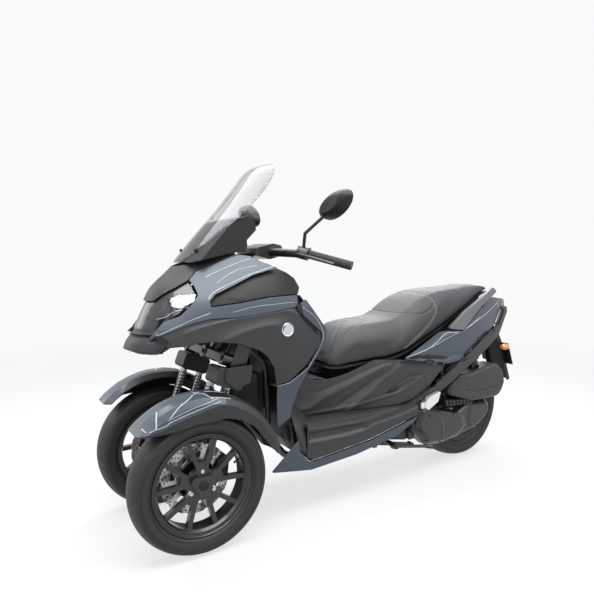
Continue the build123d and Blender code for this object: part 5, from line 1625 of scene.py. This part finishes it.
# Pale lines along the fairing's creases: partly pinstripes, partly painted highlights.
FAIRING_LINES = LineWork(
    ("side_fairings", "top_cowl", "lower_covers", "nose_cover"), "chassis", (
        Line("fairing_upper_line", ((791, 134, 1007), (722, 138, 1036), (652, 143, 1063), (609, 148, 1076)),
             0.0018, STRIPE_AND_HIGHLIGHT),
        Line("fairing_middle_line", ((757, 162, 985), (709, 157, 1014), (659, 158, 1036), (589, 168, 1050)),
             0.0018, STRIPE_AND_HIGHLIGHT),
        Line("fairing_pocket_line", ((800, 185, 925), (790, 183, 942), (766, 180, 958), (706, 181, 985),
                                     (634, 182, 1014), (567, 184, 1036), (520, 184, 1050)), 0.0022, STRIPE_AND_HIGHLIGHT),
        Line("fairing_low_line", ((981, 142, 805), (983, 146, 796), (905, 181, 835), (869, 190, 851),
                                  (800, 205, 875)), 0.0020, STRIPE_AND_HIGHLIGHT),
        Line("fairing_band_line", ((721, 228, 876), (631, 234, 893), (560, 240, 899), (470, 246, 905)),
             0.0014, STRIPE_AND_HIGHLIGHT, 0.0006),
    ))
MUDGUARD_LINES = (
    Line("mudguard_long_line", ((1063, 301, 494), (1003, 305, 506), (990, 305, 515), (931, 305, 533),
                                (860, 304, 551), (800, 298, 565)), 0.0024, STRIPE_AND_HIGHLIGHT),
    Line("mudguard_inner_line", ((1000, 303, 522), (931, 303, 545), (866, 302, 563), (806, 296, 578)), 0.0016,
         STRIPE_AND_HIGHLIGHT),
    Line("mudguard_rise", ((991, 303, 529), (964, 297, 556), (915, 276, 585), (857, 224, 594)), 0.0034, STRIPE_AND_HIGHLIGHT),
    Line("mudguard_front_bar", ((1040, 304, 499), (1037, 300, 512), (1033, 286, 532), (1025, 259, 551)),
         0.0050, STRIPE_AND_HIGHLIGHT),
    Line("mudguard_tip_line", ((1083, 274, 505), (1072, 296, 494)), 0.0036, STRIPE_AND_HIGHLIGHT),
    Line("mudguard_label_front", ((880, 206, 592), (870, 236, 592), (850, 262, 590), (828, 293, 577)), 0.0040,
         STRIPE_AND_HIGHLIGHT),
    Line("mudguard_label", ((838, 258, 590), (800, 258, 588), (762, 258, 578)), 0.052, LABEL_AND_SHADOW_BLACK),
    Line("mudguard_label_edge", ((830, 288, 581), (790, 288, 577), (756, 288, 567)), 0.0026, STRIPE_AND_HIGHLIGHT),
    Line("mudguard_label_upper", ((838, 228, 594), (790, 228, 592), (756, 228, 582)), 0.0018, STRIPE_AND_HIGHLIGHT),
    Line("mudguard_seam", ((774, 297, 560), (778, 262, 584), (784, 215, 590), (788, 190, 590)), 0.0020,
         LABEL_AND_SHADOW_BLACK),
)
LAMP_LINES = LineWork(
    ("headlight_lenses",), "chassis", (
        Line("running_line", ((996, 120, 848), (960, 140, 861), (925, 155, 876), (893, 168, 893)), 0.0045,
             LAMP_WHITE, 0.0006, True),
        Line("lens_top_line", ((945, 110, 925), (905, 128, 941), (850, 150, 946)), 0.0022, GLOSS_BLACK,
             0.0005),
        Line("lens_pod_edge", ((938, 120, 926), (934, 128, 905), (930, 135, 886)), 0.0060, GLOSS_BLACK,
             0.0006),
    ))
SILL_LINES = LineWork(
    ("under_strips", "foot_boards"), "chassis", (
        Line("sill_line", ((426, 236, 284), (400, 236, 262), (366, 236, 238), (229, 236, 252), (84, 236, 270),
                           (-60, 236, 304), (-149, 236, 326)), 0.0018, STRIPE_AND_HIGHLIGHT),
    ))
# The tail crease's pale line runs on the pressed ridge: partly pinstripe, partly painted highlight.
TAIL_LINES = LineWork(
    ("tail_panels",), "chassis", (
        Line("tail_crease", ((-176, 197, 614), (-304, 201, 643), (-374, 198, 673), (-449, 192, 712),
                             (-573, 186, 715), (-730, 163, 775)), 0.0024, STRIPE_AND_HIGHLIGHT),
        Line("tail_wedge", ((-186, 197, 616), (-260, 200, 611), (-340, 202, 605), (-410, 203, 596),
                            (-455, 203, 590)), 0.022, BLACK_PLASTIC, 0.0008, True),
        Line("tail_fine_line", ((-338, 200, 652), (-474, 194, 692), (-603, 181, 728), (-730, 163, 768),
                                (-838, 138, 806), (-950, 105, 846)), 0.0020, STRIPE_AND_HIGHLIGHT),
    ))
# Painted shadow: a black strip on the vent's recessed floor.
VENT_LINES = LineWork(
    ("body_sides",), "chassis", (
        Line("vent_shadow", ((-62, 192, 462), (-126, 192, 482), (-196, 192, 519), (-274, 192, 529)), 0.022,
             LABEL_AND_SHADOW_BLACK, 0.0006, True),
    ), outward=(0.0, 0.0, 0.0))
LEG_LINES = LineWork(
    ("leg_trims",), "chassis", (
        Line("leg_edge", ((443, 252, 893), (370, 258, 838), (335, 264, 770), (352, 262, 727), (420, 255, 650),
                          (538, 246, 577)), 0.0018, STRIPE_AND_HIGHLIGHT),
    ))
LINE_WORKS = (FAIRING_LINES, LAMP_LINES, SILL_LINES, TAIL_LINES, VENT_LINES, LEG_LINES)


@dataclass
class GuardLines:
    """Lines and labels of the two mudguards, each moving with its fork."""

    lines: tuple[Line, ...] = MUDGUARD_LINES
    outward: Point = (3.0, 4.0, 6.0)

    def build(self, shapes: Shapes, fitter: Fitter) -> None:
        """Lays the lines on both mudguards.

        Args:
            shapes: What stands for each node.
            fitter: Finishes the pieces.
        """
        for side, name in SIDES.items():
            lines = []
            for line in self.lines:
                points = tuple((x, side * y, z) for x, y, z in line.points)
                lines.append(replace(line, name=f"{line.name}_{name}", points=points))
            work = LineWork((f"mudguard_{name}",), f"fork_{name}", tuple(lines), False, self.outward)
            work.build(shapes, fitter)


@dataclass
class Screen:
    """Windscreen with its upper part leant forward."""

    start: float = 1.20
    height: float = 0.26
    reach: float = 0.030

    def build(self, shapes: Shapes, fitter: Fitter) -> Piece:
        """Makes the screen.

        Args:
            shapes: What stands for each node.
            fitter: Finishes the pieces.

        Returns:
            The screen that stands for the CAD node.
        """
        screen = solid_copy(shapes["windscreen"], "screen")
        sliced(screen, 0.012, (2,))
        for vertex in screen.data.vertices:
            share = max(0.0, vertex.co.z - self.start) / self.height
            vertex.co.x += self.reach * share * share
        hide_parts("windscreen")
        fitter.fit(screen, "chassis", SCREEN)
        return screen


@dataclass
class Saddle:
    """Padded saddle with a raised pillion part, sewn seams and stitching."""

    voxel: float = 0.007
    shrink: float = 0.004
    pressure: float = 3.0
    cap: float = 0.007
    groove: float = 0.0032
    groove_reach: float = 0.008
    stitch: float = 0.005
    seams: tuple[tuple[Point, ...], ...] = (
        ((-396, 0, 899), (-384, 60, 899), (-386, 109, 893), (-404, 143, 866), (-398, 169, 819),
         (-368, 175, 782), (-326, 178, 745), (-231, 181, 680), (-188, 182, 645)),
        ((-205, 0, 812), (-212, 70, 814), (-232, 124, 816), (-309, 158, 812), (-372, 158, 836),
         (-398, 150, 862)),
        ((-388, 0, 896), (-396, 30, 897), (-419, 55, 903), (-424, 100, 892), (-423, 151, 858)),
        ((-44, 0, 781), (-34, 63, 780), (38, 95, 769), (121, 109, 725), (178, 129, 653), (186, 128, 611)),
        ((20, 0, 771), (45, 18, 768), (148, 73, 729), (199, 96, 664), (210, 113, 610)),
    )
    sewn: tuple[int, ...] = (0,)

    def build(self, shapes: Shapes, fitter: Fitter) -> None:
        """Makes the padded cover and its stitches.

        Args:
            shapes: What stands for each node.
            fitter: Finishes the pieces.
        """
        cad = shapes["saddle_cushion"]
        low, high = (Vector(corner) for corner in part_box("saddle_cushion"))
        pad = self.pad(cad)
        self.puff(pad, low, high)
        lines = self.seam_lines(shapes)
        self.sew(pad, lines)
        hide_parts("saddle_cushion")
        fitter.fit(pad, "saddle", LEATHER, 60.0)
        skin = Skin({"pad": pad}, ("pad",))
        for number in self.sewn:
            for side in SIDES:
                self.stitches(skin, mirrored(lines[number], side), side, fitter)

    def pad(self, cad: Piece) -> Piece:
        """A slightly smaller closed copy of the plain cushion with an even mesh.

        Args:
            cad: The plain cushion.

        Returns:
            The copy.
        """
        piece = solid_copy(cad, "saddle_pad", 0.0001)
        with editing(piece):
            bpy.ops.transform.shrink_fatten(value=-self.shrink)
        remeshed(piece, self.voxel, 6, 0.6)
        return piece

    def puff(self, pad: Piece, low: Vector, high: Vector) -> None:
        """Fills the cover by simulation and keeps it near its form.

        Args:
            pad: The cover.
            low: Lowest corner that it may reach.
            high: Highest corner.
        """
        pick(pad)
        before = [v.co.copy() for v in pad.data.vertices]
        cloth = pad.modifiers.new("fill", "CLOTH")
        settings = cloth.settings
        settings.use_pressure = True
        settings.uniform_pressure_force = self.pressure
        settings.effector_weights.gravity = 0.0
        settings.quality = 4
        settings.tension_stiffness = 25.0
        settings.compression_stiffness = 25.0
        cloth.collision_settings.use_collision = False
        scene = bpy.context.scene
        for number in range(1, 21):
            scene.frame_set(number)
        bpy.ops.object.modifier_apply(modifier="fill")
        scene.frame_set(1)
        for vertex, start in zip(pad.data.vertices, before):
            move = vertex.co - start
            if move.length > self.cap:
                move = move.normalized() * self.cap
            spot = start + move
            vertex.co = [min(max(value, a), b) for value, a, b in zip(spot, low, high)]

    def seam_lines(self, shapes: Shapes) -> list[list[Vector]]:
        """The seams on the left half, laid on the cushion."""
        skin = Skin(shapes, ("saddle_cushion",))
        return [[skin.near(point)[0] for point in smooth_path(mm(seam), 0.004)] for seam in self.seams]

    def sew(self, pad: Piece, lines: list[list[Vector]]) -> None:
        """Refines the cover and draws it in along its seams.

        Args:
            pad: The cover.
            lines: Seams of the left half.
        """
        pick(pad)
        modified(pad, "SUBSURF", levels=1, render_levels=1)
        points = finder([place for line in lines for side in SIDES for place in mirrored(line, side)])
        normals = [v.normal.copy() for v in pad.data.vertices]
        for vertex, normal in zip(pad.data.vertices, normals):
            _, _, distance = points.find(vertex.co)
            if distance < self.groove_reach * 3.0:
                vertex.co -= normal * (self.groove * math.exp(-((distance / self.groove_reach) ** 2) * 2.0))

    def stitches(self, skin: Skin, line: list[Vector], side: int, fitter: Fitter) -> None:
        """Two rows of stitches beside a seam.

        Args:
            skin: The padded cover.
            line: The seam.
            side: 1 on the left, -1 on the right.
            fitter: Finishes the pieces.
        """
        path = smooth_path(line, self.stitch * 1.5)
        for row, aside in enumerate((-0.005, 0.005)):
            pieces = []
            for number, (a, b) in enumerate(zip(path, path[1:])):
                place, normal = skin.near(a)
                out = normal.cross((b - a).normalized()).normalized()
                along = (b - a).normalized()
                spot, normal = skin.near(place + out * aside)
                pieces.append(lathe(f"stitch_{number}", spot - along * (self.stitch / 2.0) + normal * 0.0002,
                                    along, ((0.0, 0.0), (0.0006, 0.0004), (0.0007, self.stitch / 2.0),
                                            (0.0006, self.stitch - 0.0004), (0.0, self.stitch)), 6))
            fitter.fit(joined(pieces, f"stitching_{SIDES[side]}_{row}"), "saddle", THREAD)


@dataclass
class FrontWheels:
    """Bolts, hub caps and valves of the two front wheels."""

    x: float = 0.863
    z: float = 0.262
    bolt_circle: float = 0.050
    plate_y: float = 0.2625
    cover_y: float = 0.277
    bolt_angles: tuple[float, ...] = (90.0, -30.0, -150.0)
    bolt_radius: float = 0.0082
    bolt_height: float = 0.009
    valve_circle: float = 0.164
    valve_y: float = 0.250
    valve_angle: float = 158.0
    cap: Corners = ((0.0, 0.0), (0.0165, 0.0), (0.0165, 0.0035), (0.0150, 0.0048), (0.008, 0.0056),
                    (0.0, 0.0058))
    valve: Corners = ((0.0, 0.0), (0.0045, 0.0), (0.0038, 0.012), (0.0032, 0.014), (0.0042, 0.015),
                      (0.0042, 0.024), (0.0, 0.025))

    def spot(self, radius: float, y: float, angle: float) -> Vector:
        """A place on a wheel from its radius, its distance across and its angle in degrees."""
        turn = math.radians(angle)
        return Vector((self.x + radius * math.cos(turn), y, self.z + radius * math.sin(turn)))

    def build(self, fitter: Fitter) -> None:
        """Adds the details to each wheel.

        Args:
            fitter: Finishes the pieces.
        """
        for side, name in SIDES.items():
            body = f"wheel_front_{name}"
            out = Vector((0.0, side, 0.0))
            for number, angle in enumerate(self.bolt_angles):
                centre = self.spot(self.bolt_circle, side * self.plate_y, angle)
                head = bolt(f"{body}_bolt_{number}", centre, out, self.bolt_radius, self.bolt_height)
                fitter.fit(head, body, BOLT)
            cap = lathe(f"{body}_cap", self.spot(0.0, side * self.cover_y, 0.0), out, self.cap, 40)
            fitter.fit(cap, body, BLACK_PLASTIC)
            foot = self.spot(self.valve_circle, side * self.valve_y, self.valve_angle)
            turn = math.radians(self.valve_angle)
            stem = Vector((-math.cos(turn), 0.25 * side, -math.sin(turn)))
            fitter.fit(lathe(f"{body}_valve", foot, stem, self.valve, 16), body, BLACK_PLASTIC)


@dataclass
class Springs:
    """Black spring coils around the tubes of the two forks."""

    foot_x: float = 0.931
    rake: float = math.radians(20.0)
    across: tuple[float, ...] = (-0.0113, 0.0627)
    leg_y: float = 0.147
    low: float = 0.480
    pitch: float = 0.0135
    coils: int = 10
    radius: float = 0.0172
    wire: float = 0.0022
    tilt: float = math.radians(14.0)

    def build(self, fitter: Fitter) -> None:
        """Makes the coils.

        Args:
            fitter: Finishes the pieces.
        """
        for side, name in SIDES.items():
            made = []
            for across in self.across:
                for number in range(self.coils):
                    along = self.low + self.pitch * number
                    place = (self.foot_x - along * math.sin(self.rake) + across * math.cos(self.rake),
                             side * self.leg_y, along * math.cos(self.rake) + across * math.sin(self.rake))
                    made.append(ring(self.radius, self.wire, 28, place, (self.tilt, -self.rake, 0.0)))
            fitter.fit(joined(made, f"fork_springs_{name}"), f"fork_{name}", BLACK_PAINT, 60.0)


@dataclass
class KickCover:
    """Curved dark panel between the leg trim, the under strip and the front of the foot board."""

    rear: tuple[Point, ...] = ((384, 116, 455), (352, 124, 424), (352, 176, 392), (392, 226, 352),
                               (397, 235, 312), (393, 235, 276))
    front: tuple[Point, ...] = ((436, 150, 470), (444, 190, 432), (450, 226, 400), (446, 235, 372),
                                (438, 235, 340), (428, 235, 300))
    rows: int = 30
    columns: int = 10
    bulge: float = 0.006
    wall: float = 0.0025

    def build(self, fitter: Fitter) -> None:
        """Makes the panel on both sides.

        Args:
            fitter: Finishes the pieces.
        """
        for side, name in SIDES.items():
            edges = []
            for edge in (self.rear, self.front):
                path = smooth_path(mirrored(mm(edge), side), 0.002)
                last = len(path) - 1
                edges.append([path[round(row * last / (self.rows - 1))] for row in range(self.rows)])

            def place(column: int, row: int) -> Vector:
                """Point of the panel."""
                share = column / (self.columns - 1)
                spot = edges[0][row].lerp(edges[1][row], share)
                spot.y += side * self.bulge * math.sin(math.pi * share)
                return spot

            piece = laid_grid(f"kick_cover_{name}", self.columns, self.rows, place)
            pick(piece)
            modified(piece, "SOLIDIFY", thickness=self.wall)
            turn_outwards(piece)
            fitter.fit(piece, "chassis", CASTING, 50.0)


@dataclass
class TyreRings:
    """Raised rings on the sidewalls of the three tyres."""

    rings: Corners = ((-0.060, 0.0011), (-0.055, 0.0007), (-0.034, 0.0009), (-0.0295, 0.0007))
    tyres: tuple[TyreRubber, ...] = (FRONT_TYRE_LEFT, FRONT_TYRE_RIGHT, REAR_TYRE)

    def build(self, shapes: Shapes, fitter: Fitter) -> None:
        """Lays the rings on both sides of each tyre.

        Args:
            shapes: What stands for each node.
            fitter: Finishes the pieces.
        """
        for tyre in self.tyres:
            (x, _, z), outer = tyre.centre, tyre.outer_radius
            skin = Skin(shapes, (tyre.name,))
            made = []
            for inset, radius in self.rings:
                for side in SIDES:
                    found = skin.from_side(x + outer + inset, z, side)
                    if found is not None:
                        made.append(ring(outer + inset, radius, 120, (x, found[0].y, z),
                                         (math.pi / 2.0, 0.0, 0.0)))
            name = tyre.name.removeprefix("tyre_")
            fitter.fit(joined(made, f"tyre_rings_{name}"), f"wheel_{name}", tyre, 60.0)


@dataclass
class LampUnit:
    """Bright reflectors behind the headlight lenses, and the round covers on the side of the nose."""

    reflector: Corners = ((0.932, 0.900), (0.926, 0.930), (0.902, 0.942), (0.842, 0.944),
                          (0.852, 0.920), (0.900, 0.893))
    depth: float = 0.005
    wave: float = 0.002
    wall: float = 0.001
    steps: int = 28
    cover: Point = (502, 256, 802)
    cover_profile: Corners = ((0.0, -0.004), (0.0265, -0.004), (0.0265, 0.0025), (0.0250, 0.0036),
                              (0.0225, 0.0032), (0.0212, 0.0016), (0.010, 0.0020), (0.0, 0.0022))

    def build(self, shapes: Shapes, fitter: Fitter) -> None:
        """Makes the reflectors and the round covers.

        Args:
            shapes: What stands for each node.
            fitter: Finishes the pieces.
        """
        lens = Skin(shapes, ("headlight_lenses",))
        for side in SIDES:
            self.bowl(lens, side, fitter)
        covers = Skin(shapes, ("lower_covers",))
        for side, name in SIDES.items():
            place, normal = covers.near(mirrored(mm((self.cover,)), side)[0])
            fitter.fit(lathe(f"round_cover_{name}", place, normal, self.cover_profile, 56), "chassis", SILVER)

    def bowl(self, lens: Skin, side: int, fitter: Fitter) -> None:
        """A reflector that fills the middle of a lens from behind.

        Args:
            lens: The lenses.
            side: 1 on the left, -1 on the right.
            fitter: Finishes the pieces.
        """
        xs, zs = zip(*self.reflector)

        def place(column: int, row: int) -> Vector:
            """Point behind the lens."""
            x = min(xs) + (max(xs) - min(xs)) * column / self.steps
            z = min(zs) + (max(zs) - min(zs)) * row / self.steps
            found = lens.from_side(x, z, side)
            y = side * 0.1 if found is None else found[0].y
            bump = self.wave * math.cos(column * 1.1) * math.cos(row * 1.1)
            return Vector((x - self.depth, y - side * (self.depth + bump), z))

        piece = laid_grid(f"reflector_{SIDES[side]}", self.steps + 1, self.steps + 1, place)
        with editing(piece):
            bpy.ops.mesh.select_all(action="DESELECT")
        for face in piece.data.polygons:
            face.select = not encloses(self.reflector, face.center.x + self.depth, face.center.z)
        bpy.ops.object.mode_set(mode="EDIT")
        bpy.ops.mesh.delete(type="FACE")
        turn_outwards(piece)
        modified(piece, "SOLIDIFY", thickness=self.wall)
        fitter.fit(piece, "chassis", REFLECTOR, 60.0)


@dataclass
class DriveSide:
    """Ribbed grille between the air cleaner and the belt case, and the case's bolts."""

    grille: Corners = ((-476, 368), (-690, 348), (-684, 322), (-486, 334))
    grille_side: tuple[float, float] = (118.0, 166.0)
    rib_out: float = 5.0
    ribs: int = 8
    rib_start: float = 0.2
    rib_share: float = 0.55
    rib_rows: Corners = ((0.08, 0.46), (0.56, 0.94))
    bolt_radius: float = 0.0045
    bolt_height: float = 0.004
    bolts: Corners = ((-0.372, 0.170), (-0.470, 0.148), (-0.620, 0.168), (-0.740, 0.196),
                      (-0.826, 0.262), (-0.380, 0.300), (-0.555, 0.280))

    def build(self, shapes: Shapes, fitter: Fitter) -> None:
        """Makes the grille with its ribs, and the case's bolts.

        Args:
            shapes: What stands for each node.
            fitter: Finishes the pieces.
        """
        low, high = self.grille_side
        fitter.fit(plate("grille", self.grille, low, high), "chassis", BLACK_PLASTIC)
        for row, (bottom, top) in enumerate(self.rib_rows):
            for number in range(self.ribs):
                front, rear = number + self.rib_start, number + self.rib_start + self.rib_share
                corners = tuple(self.on_grille(along / self.ribs, up)
                                for along, up in ((front, top), (rear, top), (rear, bottom), (front, bottom)))
                rib = plate(f"grille_rib_{row}_{number}", corners, high, high + self.rib_out)
                fitter.fit(rib, "chassis", BOX_PLASTIC)
        case = Skin(shapes, ("belt_case",))
        for number, (x, z) in enumerate(self.bolts):
            found = case.from_side(x, z, 1)
            if found is not None:
                head = bolt(f"case_bolt_{number}", *found, self.bolt_radius, self.bolt_height)
                fitter.fit(head, "chassis", BLACK_PLASTIC)

    def on_grille(self, along: float, up: float) -> tuple[float, float]:
        """A place on the grille seen from the side.

        Args:
            along: Share of the way from its front end.
            up: Share of the way from its lower edge.

        Returns:
            Its distance forward and its height in millimetres.
        """
        (x0, z0), (x1, z1), (x2, z2), (x3, z3) = self.grille
        return ((x3 + (x2 - x3) * along) * (1.0 - up) + (x0 + (x1 - x0) * along) * up,
                (z3 + (z2 - z3) * along) * (1.0 - up) + (z0 + (z1 - z0) * along) * up)


@dataclass
class ScreenBolts:
    """Bolts that hold the windscreen."""

    places: tuple[Point, ...] = ((834, 110, 1114), (622, 135, 1233))
    radius: float = 0.0065
    height: float = 0.003

    def build(self, shapes: Shapes, fitter: Fitter) -> None:
        """Makes the bolts on both sides.

        Args:
            shapes: What stands for each node.
            fitter: Finishes the pieces.
        """
        screen = Skin(shapes, ("windscreen",))
        for number, point in enumerate(self.places):
            for side, name in SIDES.items():
                place, normal = screen.near(mirrored(mm((point,)), side)[0])
                out = normal if normal.x > 0 else -normal
                head = bolt(f"screen_bolt_{number}_{name}", place, out, self.radius, self.height)
                fitter.fit(head, "chassis", BLACK_PLASTIC)


def main() -> None:
    """Builds the looks in order."""
    logging.basicConfig(level=logging.INFO, format="%(message)s")
    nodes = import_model()["nodes"]
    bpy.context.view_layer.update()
    shop = Shop()
    Studio().build()
    for finish, names in NODE_FINISHES.items():
        for name in names:
            if name in nodes:
                shop.dress(nodes[name], finish)
    plain = sorted(set(nodes) - {n for names in NODE_FINISHES.values() for n in names})
    LOG.info("nodes without a finish: %s", plain)
    fitter = Fitter(shop)
    shapes = dict(nodes)
    for panel in PANELS:
        shapes[panel.node] = panel.build(nodes, fitter)
    shapes.update(Nose().build(nodes, fitter))
    shapes["windscreen"] = Screen().build(nodes, fitter)
    ShadePlates().build(nodes, fitter)
    for work in (*LINE_WORKS, GuardLines()):
        work.build(shapes, fitter)
    for detail in (FrontWheels(), Springs(), KickCover()):
        detail.build(fitter)
    for detail in (TyreRings(), LampUnit(), DriveSide(), ScreenBolts(), Saddle()):
        detail.build(shapes, fitter)
    clear_selection()
    LOG.info("%d pieces added", fitter.count)


if __name__ == "__main__":
    main()
